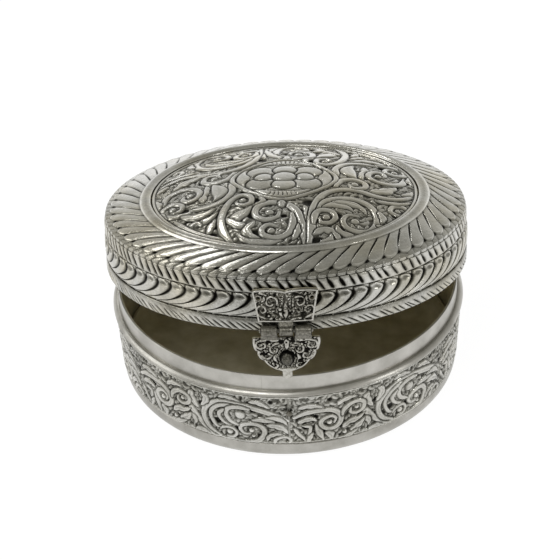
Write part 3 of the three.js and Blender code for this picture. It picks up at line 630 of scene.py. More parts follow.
def rolled_ledge():
    # a convex slope from the neck down to a narrow nose
    inner = NECK_RADIUS + 0.02
    curve = 3.0
    nose, top = 25, 62
    section = [(inner, LEDGE_LOW), (LEDGE_RADIUS - 0.1, LEDGE_LOW)]
    section += arc(LEDGE_RADIUS - math.cos(math.radians(nose)) * curve,
                   LEDGE_HEIGHT - math.sin(math.radians(top)) * curve, curve, curve, nose, top, 8)
    section += [(inner, LEDGE_HEIGHT)]
    tones = [0.5, 0.6] + [0.9] * (len(section) - 3) + [0.85]
    turned("rolled_ledge", "ledge_ring", section, tones, [0.0] * len(section), 3.0, uneven=0.3)


def neck_strip():
    inner = NECK_RADIUS - NECK_SHEET
    roll = 0.3
    section = [(inner, NECK_LOW), (NECK_RADIUS, NECK_LOW), (NECK_RADIUS, LEDGE_HEIGHT),
               (NECK_RADIUS, NECK_TOP - roll)]
    section += arc(NECK_RADIUS - roll, NECK_TOP - roll, roll, roll, 0, 90, 4)[1:]
    section += [(inner, NECK_TOP)]
    tones = [0.5] + [0.89] * (len(section) - 2) + [0.8]
    bare = [1.0] + [0.0] * (len(section) - 2) + [1.0]
    turned("neck_strip", "neck_collar", section, tones, bare, 4.0, uneven=0.1)


# One unit of the scroll wall, x along the wall and z up. It comes six times round the box.
# A pit is its place and radius; a stroke its kind, its points and its half widths.
WALL_UNITS = 6
WALL_PERIOD = 64.2
WALL_START = math.radians(-121.7)
WALL_PITS = [
    (39.5, 14.8, 1.3), (43.1, 19.0, 1.0), (7.7, 14.9, 1.3), (21.0, 22.0, 1.0), (1.5, 20.7, 1.2),
    (28.8, 15.7, 1.0), (52.7, 12.7, 1.0), (0.4, 14.2, 1.1), (27.5, 26.3, 0.9), (14.7, 13.0, 0.9),
    (46.2, 12.0, 1.1), (34.1, 20.3, 0.9), (48.1, 25.9, 1.0), (59.7, 16.4, 1.2),
]
WALL_STROKES = [
    ("stem", [(-6.8, 24.8), (-4.3, 19.8), (-1.7, 16.2), (1.7, 12.0), (6.8, 8.3), (12.8, 7.2), (18.8, 7.5),
     (23.1, 9.0), (25.0, 12.6), (23.5, 15.5), (20.5, 16.2), (17.1, 15.2), (16.2, 13.3), (17.6, 11.5),
     (19.7, 11.5)], 1.2, 0.8),
    ("bead", [(20.3, 13.0)], 1),
    ("bead", [(20.9, 10.6)], 0.7),
    ("stem", [(33.4, 18.3), (28.3, 20.9), (23.1, 22.8), (17.1, 24.2), (10.7, 24.4), (6.0, 22.5),
     (2.9, 19.0), (2.5, 15.1), (4.5, 11.1), (8.6, 8.6)], 1.2, 0.9),
    ("stem", [(14.1, 23.5), (9.4, 22.6), (6.0, 19.8), (5.2, 16.5), (6.9, 12.9), (9.0, 11.9)], 0.85, 0.6),
    ("stem", [(19.7, 22.6), (15.8, 23.1), (12.3, 21.9), (11.2, 19.4), (12.4, 16.5),
     (15.4, 14.9)], 0.95, 0.7),
    ("stem", [(10.3, 20.8), (8.4, 18.3), (9.8, 15.5), (12.8, 14.0)], 0.8, 0.5),
    ("bead", [(16.4, 19.5)], 1.9),
    ("bead", [(12.2, 11.1)], 1.25),
    ("stem", [(8.6, 11.5), (10.3, 12.9), (13.3, 13.0), (14.8, 11.1), (13.7, 9.2), (11.1, 9.0)], 0.6, 0.5),
    ("blade", [(20.3, 17.8), (24.0, 18.3), (27.4, 17.8), (29.5, 16.2)], 1.1),
    ("blade", [(25.3, 19.4), (28.7, 19.4), (31.7, 18.0), (33.4, 15.5)], 1),
    ("leaf", [(25.7, 15.8), (28.7, 15.8), (31.7, 14.4), (33.4, 11.9)], 1.3),
    ("leaf", [(25.7, 8.6), (26.5, 10.8), (29.1, 12.0), (31.7, 11.5)], 0.9),
    ("stem", [(28.3, 7.7), (29.1, 9.7), (32.1, 10.8), (34.2, 9.3), (33.4, 8.0)], 0.7, 0.5),
    ("leaf", [(19.7, 25.9), (22.3, 26.2), (24.8, 25.2), (27.4, 23.4)], 1),
    ("leaf", [(8.6, 26.2), (11.1, 27.0), (14.1, 26.6), (17.1, 25.5)], 0.9),
    ("leaf", [(-1.7, 25.5), (-2.6, 23.0), (-1.3, 20.5), (0.4, 18.3)], 1.5),
    ("leaf", [(2.1, 25.9), (3.9, 24.4), (3.0, 21.9), (1.3, 19.8)], 1.2),
    ("leaf", [(-1.7, 7.9), (0.4, 9.0), (3.0, 8.6), (5.1, 7.2)], 0.9),
    ("blade", [(-4.3, 13.3), (-2.6, 14.0), (-1.3, 12.2), (-1.7, 10.1)], 1),
    ("stem", [(35.5, 14.4), (37.2, 11.5), (40.2, 8.1)], 0.7, 0.5),
    ("stem", [(38.5, 15.5), (41.1, 14.7), (40.7, 11.5), (39.8, 9.7)], 0.7, 0.5),
    ("blade", [(43.0, 15.8), (44.1, 12.9), (44.9, 10.4), (46.2, 7.7)], 1.15),
    ("leaf", [(40.2, 7.9), (41.1, 10.1), (42.2, 12.2)], 0.9),
    ("stem", [(35.5, 19.4), (39.0, 21.2), (43.2, 22.0), (48.4, 21.6), (51.7, 19.0), (52.1, 15.8),
     (50.1, 13.4), (46.9, 13.3), (44.9, 15.5), (45.8, 17.8), (48.4, 18.8), (50.3, 17.4),
     (49.7, 15.5)], 1.2, 0.7),
    ("bead", [(48.0, 15.9)], 1.1),
    ("leaf", [(36.8, 23.4), (39.8, 24.4), (43.2, 24.1), (46.2, 23.0)], 1.1),
    ("leaf", [(36.8, 16.9), (39.4, 18.3), (42.0, 18.3), (43.7, 16.9)], 1.1),
    ("leaf", [(46.7, 11.5), (48.4, 10.1), (48.8, 7.9)], 1.3),
    ("bead", [(53.6, 10.1)], 0.9),
    ("stem", [(52.7, 18.3), (53.3, 20.5), (55.7, 22.6), (58.6, 23.0), (60.8, 21.6), (60.4, 19.0),
     (57.8, 17.8), (55.7, 18.7), (55.9, 20.5)], 1, 0.6),
    ("bead", [(58.0, 20.3)], 0.9),
    ("leaf", [(50.9, 23.0), (52.7, 24.8), (55.7, 25.5), (58.6, 25.2)], 1),
    ("leaf", [(52.7, 12.2), (55.2, 14.4), (58.6, 15.1), (61.2, 16.9)], 1.3),
    ("leaf", [(55.7, 10.1), (57.8, 11.1), (59.9, 12.9), (61.2, 14.7)], 1.3),
    ("leaf", [(50.9, 7.9), (53.5, 7.9), (56.5, 9.0), (59.1, 10.4)], 1),
]


def scroll_wall():
    carving = Chasing((-2.0, 7.0), (WALL_PERIOD + 2.0, 30.0), 0.1,
                      [(0.0, 0.0), (0.0, -WALL_PERIOD), (0.0, WALL_PERIOD)])
    carving.ground((0.0, 8.4), (WALL_PERIOD, 29.0), 2.0, 0.7)
    carving.pits(WALL_PITS)
    carving.draw(WALL_STROKES, fuller=1.15)
    carving.settle(low=0.41, gain=0.3, crisp=0.5)
    x, z = np.meshgrid(np.linspace(0.0, WALL_PERIOD, 201), np.linspace(WALL_LOW + 0.05, WALL_TOP - 0.05, 66))
    rise, tone = carving.at(x, z)
    # both ends of the unit meet the next one, so they share one profile
    for field in (rise, tone):
        field[:, 0] = field[:, -1] = (field[:, 0] + field[:, -1]) / 2
    # raised line along each edge
    line = np.exp(-((z - WALL_LOW - 0.45) / 0.35) ** 2) + np.exp(-((z - WALL_TOP + 0.6) / 0.4) ** 2)
    rise = np.maximum(rise, 0.95 * line)
    tone = np.maximum(tone, 0.85 * line)
    azimuth = WALL_START + x / WALL_PERIOD * TAU / WALL_UNITS
    front = polar(wall_radius(z) + WALL_CREST - WALL_CARVED * (1.0 - rise), azimuth, z)
    rear = [polar(wall_radius(h) - SHEET, azimuth[0], h) for h in (WALL_TOP, 18.0, WALL_LOW)]
    tones = np.vstack([tone, np.full((3, tone.shape[1]), 0.5)])
    bare = np.zeros_like(tones)
    bare[-3:] = 1.0
    shell = Shell()
    shell.patch(np.concatenate([front, np.stack(rear)]), tones, bare, round_rows=True)
    repeated("scroll_wall", shell, WALL_UNITS, "base", ["base_wall"], "embossed_body", 0.16, 5.0)


def seam(name, azimuth, wide, low, high, radius, slot, tone):
    # the lapped joint of a strip that was bent round and soldered
    z = np.linspace(low, high, 30)[:, None]
    across = np.linspace(-1.0, 1.0, 7)[None, :]
    swell = np.sqrt(1.0 - 0.9 * across ** 4) * 0.25
    turn = math.radians(azimuth) + (across * wide / 2 + 0.05 * np.sin(z * 1.3)) / 62.0
    shell = Shell()
    slab(shell, polar(radius(z) + swell, turn, z), polar(radius(z) - 0.5 + 0 * swell, turn, z), tone,
         np.ones((29, 6), bool))
    single(name, shell, "base", [], slot, crease=50)


def slab(shell, front, back, tone, keep):
    # a front and a back grid joined along every edge of the kept cells
    number = np.arange(front[..., 0].size).reshape(front.shape[:2])
    a = number + shell.take(front, tone, 0.0)
    b = number + shell.take(back, 0.5, 1.0)
    for j, i in zip(*np.nonzero(keep)):
        shell.faces.append((a[j, i], a[j, i + 1], a[j + 1, i + 1], a[j + 1, i]))
        shell.faces.append((b[j, i], b[j + 1, i], b[j + 1, i + 1], b[j, i + 1]))
    kept = np.pad(keep, 1)
    for j, i in zip(*np.nonzero(kept[1:, 1:-1] != kept[:-1, 1:-1])):
        shell.faces.append((a[j, i], a[j, i + 1], b[j, i + 1], b[j, i]))
    for j, i in zip(*np.nonzero(kept[1:-1, 1:] != kept[1:-1, :-1])):
        shell.faces.append((a[j, i], a[j + 1, i], b[j + 1, i], b[j, i]))


# Lid pieces

def plain_rows(u, pitch, rows):
    # rows across one sector, each with its radius, height, drift in pitches, tone and bare side
    r, z, drift, tone, bare = np.array(rows, float).T[:, :, None]
    return polar(r + 0 * u, (u + drift) * pitch, z), tone + 0 * u, bare + 0 * u


def lid_strip(name, node, count, blocks, uneven, seed, waves):
    # one sector of a strip of the lid, from blocks of points, tones and bare sides
    shell = Shell()
    shell.patch(*[np.concatenate(field) for field in zip(*blocks)], round_rows=True)
    repeated(name, shell, count, "lid", [node], "embossed_lid", uneven, seed, waves=waves)


def leaf_relief(u, v, crest):
    # leaves with round heads, lying over one another: the radius and tone of each spot
    across = np.abs(2 * u - 1)
    # the cut between two leaves is thin at the tails and broad beside the heads
    broad = np.interp(v, [0, 0.25, 0.45, 0.8, 1], [0.06, 0.07, 0.13, 0.15, 0.1])
    lift = 1 - np.exp(-(np.minimum(u, 1 - u) / broad) ** 2)
    head = 1.0 - 0.15 * across ** 2.2
    lift = lift * (1.0 - smooth(head - 0.05, head + 0.02, v))
    eye = ((u - 0.48) / 0.27) ** 2 + ((v - 0.82) / 0.09) ** 2
    cup = np.exp(-eye ** 2)
    # the ring round the dent is raised a little and painted lighter on its right side only: a painted
    # highlight
    rim = np.exp(-((eye - 1.6) / 0.5) ** 2) * smooth(0.4, 0.8, u)
    above = smooth(head - 0.01, head + 0.05, v)
    depth = LEAF_CARVED * np.interp(v, [0, 0.08, 0.3, 1], [0.35, 0.8, 1.0, 1.0]) * (1 - 0.6 * above)
    tone = np.clip(0.03 + 0.76 * lift - 0.34 * cup + 0.3 * rim * lift + 0.7 * above, 0, 1)
    return crest - depth * (1 - lift) - 0.35 * cup + 0.08 * rim, tone


def leaf_band():
    # the leaves are swept down and back round the skirt
    u = np.linspace(0.0, 1.0, 17)[None, :]
    h = np.linspace(LEAF_LOW + 0.05, LEAF_HIGH - 0.05, 36)[:, None]
    v = (h - LEAF_LOW) / (LEAF_HIGH - LEAF_LOW)
    crest = np.interp(v, [0, 0.02, 0.18, 0.44, 0.76, 0.98, 1], [63.9, 64.1, 64.6, 64.78, 64.76, 64.5, 64.3])
    bend = flow([(4.6, -0.5), (5.6, 0.45), (7.4, 1.35), (9.6, 1.95), (11.6, 2.2), (13.0, 2.14), (14.3, 1.9)])
    drift = np.interp(h, *bend.T)
    radius, tone = leaf_relief(u, v, crest)
    pitch = TAU / SIDE_LEAVES
    pocket = SKIRT_INNER + 0.48
    # These rows go up the outside and down the inside of the skirt. The relief is joined after
    # them, so two hidden sheets cross inside the skirt, which is a fault.
    skirt = [(SKIRT_OUTER, 0.0, 0.0, 0.4, 0), (SKIRT_OUTER, LEAF_LOW, 0.0, 0.4, 0),
             (SKIRT_OUTER, LEAF_HIGH, 1.9, 0.4, 0), (SKIRT_OUTER, SKIRT_HEIGHT, 1.86, 0.4, 0),
             (SKIRT_INNER, SKIRT_HEIGHT, 1.86, 0.4, 1), (pocket, LEAF_HIGH - 0.8, 1.5, 0.4, 1),
             (pocket, LEAF_LOW + 0.8, 0.5, 0.4, 1), (SKIRT_INNER, 0.0, 0.0, 0.4, 1)]
    relief = (polar(radius, (u + drift) * pitch, h), tone, 0 * tone)
    lid_strip("leaf_band", "lid_skirt", SIDE_LEAVES, [plain_rows(u, pitch, skirt), relief], 0.2, 6.0, 110.0)


def bars(u):
    # rounded grains side by side, 1 on their crests and 0 in the cuts
    return np.sqrt(np.clip(1 - np.abs(2 * u - 1) ** 2.6, 0, 1))


def comma_grain(u, v, pressed, edge):
    # broad black commas that end before the leaves below and run on over the shoulder
    across = np.abs(2 * u - 1) / (0.98 - 0.3 * pressed * np.sin(math.pi * np.clip(v * 1.1, 0, 1)))
    grain = np.sqrt(np.clip(1 - across ** 3.4, 0, 1))
    grain = 1 - (1 - grain) * smooth(0.02, 0.22, v) * (1 - 0.3 * smooth(0.8, 1, v))
    edge = np.maximum(edge, 0.75 * smooth(0.6, 0.9, v) + 0.5 * smooth(0.3, 0.1, v))
    return grain, edge, 0.03 + 0.8 * grain ** 1.3 * (0.75 + 0.25 * edge)


def cut_grain(u, v, pressed, edge):
    # cuts in the lower part, under a plain cove that runs on from the leaves' tails
    cove = smooth(0.5, 0.72, v)
    plain = np.maximum(0.75 * smooth(0.25, 0.0, v), 0.92 * cove)
    grain = 1 - (1 - bars(u)) * pressed * (1 - plain)
    edge = np.maximum(edge, 0.75 * smooth(0.8, 0.95, v))
    shade = np.maximum(0.3 + 0.7 * edge, smooth(0.3, 0.1, v))
    return grain, edge, 0.02 + (0.78 - 0.14 * cove) * grain ** 1.6 * shade


def rope_strip(name, node, low, height, strokes, units, slant, relief, lightest, seed):
    # a strip rolled into slanting grains, like a laid rope, each cut by hand
    per_unit = strokes // units
    chance = np.random.default_rng(int(seed))
    shift = chance.uniform(-0.18, 0.18, per_unit)
    lean = slant * chance.uniform(0.75, 1.25, per_unit)
    force = chance.uniform(lightest, 1.0, per_unit)
    number = np.append(np.repeat(np.arange(per_unit), 9), per_unit - 1)[None, :]
    u = np.append(np.tile(np.arange(9) / 9.0, per_unit), 1.0)[None, :]
    after = (number + 1) % per_unit
    v = np.linspace(0.0, 1.0, 14)[:, None]

    def between(field):
        return field[number] + (field[after] - field[number]) * u

    pressed = np.where(u < 0.5, force[number], force[after])
    edge = (1 - 0.999 * np.abs(2 * v - 1) ** 5) ** 0.5
    grain, edge, tone = relief(u, v, pressed, edge)
    radius = ROPE_SEAT + 0.2 + (ROPE_CREST - ROPE_SEAT - 0.25) * edge * (0.15 + 0.85 * grain)
    pitch = TAU / strokes
    front = polar(radius, (number + u + between(shift) - between(lean) * v) * pitch, low + height * v)
    rows = [(ROPE_SEAT, low + height * part, -slant * part, 0.2, 0) for part in (1.0, 0.0)]
    blocks = [(front, np.clip(tone, 0, 1), 0 * tone), plain_rows(number + u, pitch, rows)]
    lid_strip(name, node, units, blocks, 0.3, seed, 210.0)


def top_relief(u, s, grain):
    # swept leaves whose tips stop short of the shoulder, above a strip of cuts that runs on
    # from the rope: how deep each spot lies, and its tone
    across = np.abs(2 * u - 1)
    side = np.minimum(u, 1 - u)
    # the cut between two leaves is broad and dark by the ring and fades before the tips
    broad = np.interp(s, [0, 0.2, 0.4, 0.75, 0.93, 1], [0.1, 0.07, 0.045, 0.08, 0.1, 0.07])
    depth = np.interp(s, [0, 0.2, 0.32, 0.5, 0.75, 0.95, 1], [0.8, 0.6, 0.2, 0.4, 0.6, 0.4, 0.0])
    dark = np.interp(s, [0, 0.2, 0.32, 0.5, 0.75, 1], [1.0, 0.95, 0.35, 0.6, 0.9, 0.75])
    cut = np.exp(-(side / broad) ** 2)
    swell = 0.3 * (1 - s) * (2 * u - 1.1) ** 2 * (1 - cut)
    tip = 0.13 + 0.14 * across ** 1.7
    leaf = smooth(tip - 0.012, tip + 0.012, s)
    # the lip at each tip stands a little proud and is painted lighter: a painted glint
    lip = np.exp(-((s - tip - 0.035) / 0.03) ** 2) * (1 - cut)
    # a dark spot painted beside each tip, with no cut under it: painted shadow
    painted_notch_shadow = np.exp(-(side / 0.13) ** 2 - ((s - 0.24) / 0.05) ** 2)
    # just outside each tip the strip is painted darker: painted shadow under the tip
    under = np.exp(-((s - tip + 0.015) / 0.015) ** 2)
    fall = leaf * (depth * cut + swell - 0.15 * lip) + (1 - leaf) * (0.25 + 0.14 * (1 - grain))
    tone = leaf * (0.88 - dark * cut ** 0.8 + 0.2 * lip) + (1 - leaf) * (0.5 + 0.26 * grain)
    return fall, np.clip(tone - 0.3 * under - 0.8 * painted_notch_shadow, 0, 1) * np.interp(s, [0, 0.94, 1], [1, 1, 0.6])


def top_leaves():
    half = 0.25 - 0.25 * np.cos(np.linspace(0.0, math.pi, 13))
    u = np.concatenate([half[:-1], 0.5 + half])[None, :]
    grain = bars((2 * u) % 1.0)
    s = np.concatenate([np.linspace(0.0, 0.36, 20), np.linspace(0.4, 1.0, 16)])[:, None]
    fall, tone = top_relief(u, s, grain)
    groove = RING_RADIUS + RING_HALF + 0.15
    climb = GROOVE_HEIGHT - TOP_SEAT - TOP_STRIP
    lean = math.atan2(climb, TOP_EDGE - groove)
    r = TOP_EDGE - 0.15 + (groove - TOP_EDGE + 0.15) * s - fall * math.sin(lean)
    z = TOP_SEAT + TOP_STRIP + climb * s + 1.1 * s * (1 - s) - fall * math.cos(lean)
    drift = 1.35 * s - 0.38 + 1.45 * np.maximum(s - 0.3, 0) ** 2
    swept = drift[-1, 0]
    pitch = TAU / TOP_LEAVES
    blocks = [plain_rows(u, pitch, [(SKIRT_INNER, TOP_SEAT, -0.4, 0.4, 1),
                                    (SKIRT_OUTER - 0.3, TOP_SEAT, -0.4, 0.3, 0)])]
    # the rounded outer edge, with the rope's cuts over it
    for up, out in ((0.04, 0.1), (0.3, 0.05), (0.6, 0.1), (0.9, 0.25)):
        radius = TOP_EDGE - out - 0.5 * (1 - grain)
        edge = polar(radius, (u - 0.4) * pitch, TOP_SEAT + up - 0.05 * (1 - grain))
        blocks.append((edge, 0.35 + 0.42 * grain, 0 * u))
    blocks.append((polar(r, (u + drift) * pitch, z), tone, 0 * tone))
    # the half-round ring, its flanks painted lighter than its crest as a painted highlight where the lamps
    # glint on it, then the underside
    ring = [(RING_RADIUS + RING_HALF * math.cos(a), GROOVE_HEIGHT - 0.05 + 0.45 * i / 12
             + RING_RISE * math.sin(a), swept, 0.68 + 0.26 * abs(math.cos(a)), 0)
            for i, a in enumerate(np.radians(np.linspace(8, 172, 13)))]
    under = [(RING_INNER, 24.0, swept, 0.35, 0), (RING_INNER, 22.9, swept, 0.3, 1),
             (groove, 22.35, 0.7 * swept, 0.5, 1), (57.9, 20.6, 0.2, 0.5, 1)]
    blocks += [plain_rows(u, pitch, ring), plain_rows(u, pitch, under)]
    lid_strip("top_leaves", "lid_top", TOP_LEAVES, blocks, 0.24, 7.0, 110.0)


# Half of the medallion, seen from above. The other half is the same turned by half a turn.
MEDALLION_PITS = [
    (-8.6, -18.4, 2.1), (9.0, -20.3, 2.2), (-10.3, -28.2, 1.7), (-8.9, -38.4, 1.9), (12.9, -42.9, 2.3),
    (19.6, -27.5, 1.8), (-34.3, -18.6, 1.7), (-32.8, -27.3, 1.8), (-23.5, -37.4, 1.6), (-21.8, -5.9, 1.5),
    (29.4, -1.1, 1.3), (0.9, -29.1, 1.2), (21.9, -17.6, 1.5), (-39.3, -0.7, 1.2), (-14.1, -11.4, 1.3),
    (11.0, -30.0, 1.2), (-23.0, -32.9, 1.3), (6.3, -25.9, 1.0), (39.3, -22.2, 1.3),
]
MEDALLION_STROKES = [
    ("stem", [(-18.7, -2.1), (-18.1, -9.6), (-20.6, -15.7), (-25.8, -19.0), (-32.4, -19.6)], 1.1, 0.8),
    ("blade", [(-25.3, -2.6), (-22.8, -7.0), (-22.5, -11.6), (-24.5, -15.6)], 2.1),
    ("leaf", [(-27.9, -15.1), (-28.6, -9.6), (-27.2, -4.9), (-27.9, -1.8)], 1.5),
    ("stem", [(-42.5, -10.5), (-41.5, -4.7), (-37.5, -1.8), (-32.6, -2.3), (-29.8, -6.0), (-30.4, -10.3),
     (-33.4, -12.2), (-35.7, -9.8), (-34.5, -7.0)], 1.1, 0.7),
    ("bead", [(-33.2, -7.9)], 1.3),
    ("stem", [(-32.6, -20.9), (-38.0, -21.5), (-42.1, -18.7), (-42.5, -14.4), (-39.0, -12.2),
     (-35.7, -14.2), (-36.0, -17.6), (-38.3, -18.5)], 1, 0.65),
    ("bead", [(-38.9, -15.7)], 1.2),
    ("leaf", [(-35.7, -22.4), (-31.1, -24.6), (-26.7, -23.7), (-23.2, -20.5)], 1.5),
    ("leaf", [(-33.3, -27.8), (-29.4, -29.3), (-25.3, -27.4), (-22.3, -23.5)], 1.3),
    ("stem", [(-24.3, -33.7), (-27.9, -34.5), (-31.3, -32.8), (-31.7, -29.8), (-29.4, -28.7),
     (-27.9, -30.6)], 0.9, 0.6),
    ("stem", [(-37.5, -25.2), (-31.4, -33.0), (-24.3, -38.6), (-17.0, -42.3)], 0.8, 0.6),
    ("leaf", [(-25.3, -36.5), (-24.3, -31.9), (-22.6, -28.2)], 1.1),
    ("stem", [(-48.5, -2.7), (-47.7, -10.5), (-44.3, -19.6), (-37.7, -28.2)], 0.8, 0.6),
    ("leaf", [(-46.8, -4.9), (-44.7, -9.2), (-44.0, -14.2)], 1.4),
    ("leaf", [(-47.0, -15.1), (-43.6, -16.6), (-40.4, -22.6)], 0.9),
    ("stem", [(-16.8, -43.4), (-20.0, -36.5), (-21.1, -29.8), (-20.4, -23.1), (-18.1, -17.0),
     (-14.7, -13.8), (-11.3, -15.3), (-11.1, -19.4), (-13.8, -21.1), (-16.2, -19.4)], 1.2, 0.7),
    ("bead", [(-14.0, -17.6)], 1.2),
    ("blade", [(-17.5, -33.7), (-15.7, -28.7), (-12.3, -25.0), (-10.6, -21.8)], 1.8),
    ("leaf", [(-19.4, -28.7), (-15.8, -32.8), (-11.5, -34.8), (-7.9, -33.4)], 1.4),
    ("leaf", [(0.6, -43.4), (-6.4, -44.1), (-12.1, -42.3), (-15.3, -38.4)], 1.3),
    ("stem", [(8.7, -45.3), (7.7, -37.4), (6.8, -31.1), (4.2, -24.4), (0.2, -21.1), (-5.0, -20.5),
     (-8.8, -23.5), (-9.1, -28.3), (-5.8, -31.3), (-1.9, -30.2), (-0.8, -27.0)], 1.35, 0.8),
    ("bead", [(-4.3, -26.9)], 1.5),
    ("stem", [(3.6, -28.0), (4.0, -33.7), (2.6, -39.3), (-1.2, -41.9), (-5.5, -40.4), (-6.8, -37.1),
     (-4.5, -34.5), (-1.3, -35.6)], 1.1, 0.7),
    ("bead", [(-3.4, -37.8)], 1.3),
    ("leaf", [(-9.1, -32.2), (-12.1, -36.5), (-10.0, -40.1), (-6.8, -42.1)], 1.3),
    ("leaf", [(-8.3, -15.1), (-6.8, -18.9), (-10.2, -21.7)], 0.8),
    ("leaf", [(7.7, -22.6), (8.9, -27.2), (8.7, -32.8)], 1),
    ("leaf", [(4.3, -43.0), (5.8, -38.4), (6.0, -33.7)], 1),
    ("stem", [(9.8, -44.9), (10.4, -36.5), (10.6, -29.1), (11.5, -21.5), (14.2, -14.2), (19.2, -9.8),
     (25.7, -8.5), (32.3, -10.7), (38.1, -10.7), (43.0, -7.7), (46.0, -2.7)], 1.3, 0.8),
    ("stem", [(12.5, -25.0), (14.5, -19.6), (19.2, -16.6), (24.9, -15.7), (30.2, -18.5), (32.6, -23.7),
     (33.0, -29.3), (30.8, -34.5), (26.6, -36.1), (22.6, -34.3), (21.3, -30.4), (23.0, -27.0),
     (26.6, -26.9)], 1.2, 0.7),
    ("bead", [(25.5, -30.2)], 1.4),
    ("stem", [(11.1, -33.7), (11.7, -27.6), (14.0, -25.0), (17.4, -25.7), (18.7, -29.1), (17.0, -32.4),
     (14.0, -32.8), (13.2, -30.4)], 1, 0.65),
    ("bead", [(15.5, -29.3)], 1.3),
    ("blade", [(14.0, -23.0), (18.1, -20.9), (22.8, -22.0), (25.3, -24.4)], 1.3),
    ("leaf", [(17.4, -19.0), (22.8, -18.9), (27.5, -21.1), (29.6, -25.0)], 1.3),
    ("leaf", [(11.1, -40.1), (14.7, -36.9), (18.9, -38.7), (20.6, -43.4)], 1.4),
    ("leaf", [(13.4, -44.1), (17.0, -42.1), (17.4, -38.6)], 1),
    ("leaf", [(19.1, -33.7), (20.6, -37.4), (25.7, -39.3), (30.4, -38.4)], 1.1),
    ("stem", [(33.4, -30.9), (37.9, -29.1), (42.1, -24.4), (44.5, -18.5), (42.1, -15.1), (38.5, -16.3),
     (37.7, -19.8), (40.4, -21.5), (42.1, -19.6)], 1, 0.6),
    ("bead", [(40.2, -18.7)], 1),
    ("leaf", [(32.3, -14.2), (37.0, -14.2), (41.7, -12.9), (45.1, -9.6)], 1),
    ("leaf", [(32.6, -36.5), (37.0, -33.7), (40.8, -29.1)], 1.1),
    ("leaf", [(33.4, -21.7), (35.1, -25.4), (34.5, -29.1)], 1.1),
    ("stem", [(18.3, -7.0), (20.0, -1.8), (24.7, 0.7), (28.7, -1.8), (28.1, -5.9), (24.5, -6.8),
     (23.0, -4.2)], 1.1, 0.7),
    ("bead", [(25.1, -3.6)], 1.3),
    ("leaf", [(30.4, -7.5), (34.9, -5.9), (38.5, -2.1), (39.8, -0.1)], 1.9),
    ("leaf", [(41.7, -5.9), (44.5, -3.1), (45.5, -0.3)], 1),
    ("leaf", [(14.0, -9.6), (15.7, -5.9), (18.3, -3.1)], 1),
]


def draw_centre(carving):
    # frame of eight soft points, crescents inside it, then a flower of two rows of round petals
    t = np.linspace(0.0, TAU, 97)
    frame_radius = 16.6 + 1.9 * np.abs(np.cos(2 * t)) ** 4
    carving.dot(0.0, 0.0, 16.8, 0.5, 0.5, 0.4)
    for scale, wide in ((1.0, 0.8), (0.9, 0.6)):
        r = scale * frame_radius
        carving.stroke(np.stack([r * np.cos(t), r * np.sin(t)], 1), wide, per=1, rim=0.5)
    for k in range(4):
        a = TAU * k / 4
        bow = [(14.6 * math.cos(a + b), 14.6 * math.sin(a + b)) for b in np.radians([-48, -24, 0, 24, 48])]
        carving.stroke(bow, 2.3, leaf=1, top=0.9, rim=0.5, moat=0.35)
        # short rays in the crescents towards and away from the latch
        for b in np.radians(np.linspace(-18, 18, 7)) if k % 2 else ():
            ray = [(r * math.cos(a + b), r * math.sin(a + b)) for r in (13.6, 15.6)]
            carving.stroke(ray, 0.18, top=0.4, rim=0.35, moat=0.05)
    for a in np.radians((33, 147, 213, 327)):
        carving.dot(9.9 * math.cos(a), 9.9 * math.sin(a), 5.0, 0.8, moat=0.6)
    for side in (-1, 1):
        carving.dot(7.3 * side, 0.0, 3.1, 1.0, 0.4, 0.8)
        carving.dot(0.0, 6.6 * side, 4.1, 1.05, 0.4, 0.65)
    carving.dot(0.0, 0.0, 4.0, 1.2, 0.5, 0.8)
    for y in (-1, 1):
        carving.stroke([(0.0, 19.4 * y), (0.3, 21.5 * y), (0.0, 24.0 * y)], 1.6, leaf=2, vein=0.3)


def medallion_carving():
    carving = Chasing((-48.0, -48.0), (48.0, 48.0), 0.1, [(0.0, 0.0), (math.pi, 0.0)])
    carving.ground((-47.0, -47.0), (47.0, 0.0), 2.7, 0.55, within=46.5)
    carving.pits(MEDALLION_PITS)
    carving.draw(MEDALLION_STROKES, fuller=1.32, deep=0.42, veins=0.45)
    draw_centre(carving)
    # plain raised line round the edge
    t = np.linspace(0.0, TAU, 181)
    carving.stroke(np.stack([46.9 * np.cos(t), 46.9 * np.sin(t)], 1), 0.55, per=1, moat=0.4)
    carving.settle(low=0.5, gain=0.4, crisp=0.8)
    for field in (carving.rise, carving.tone):
        field[:] = (field + field[::-1, ::-1]) / 2
    return carving


def zipper(shell, coarse, fine, ratio):
    # triangles and quads between a row and one with ratio times its points
    for i in range(len(coarse) - 1):
        first = ratio * i
        middle = first + ratio // 2
        for j in range(first, middle):
            shell.faces.append((coarse[i], fine[j + 1], fine[j]))
        shell.faces.append((coarse[i], coarse[i + 1], fine[middle]))
        for j in range(middle, first + ratio):
            shell.faces.append((coarse[i + 1], fine[j + 1], fine[j]))


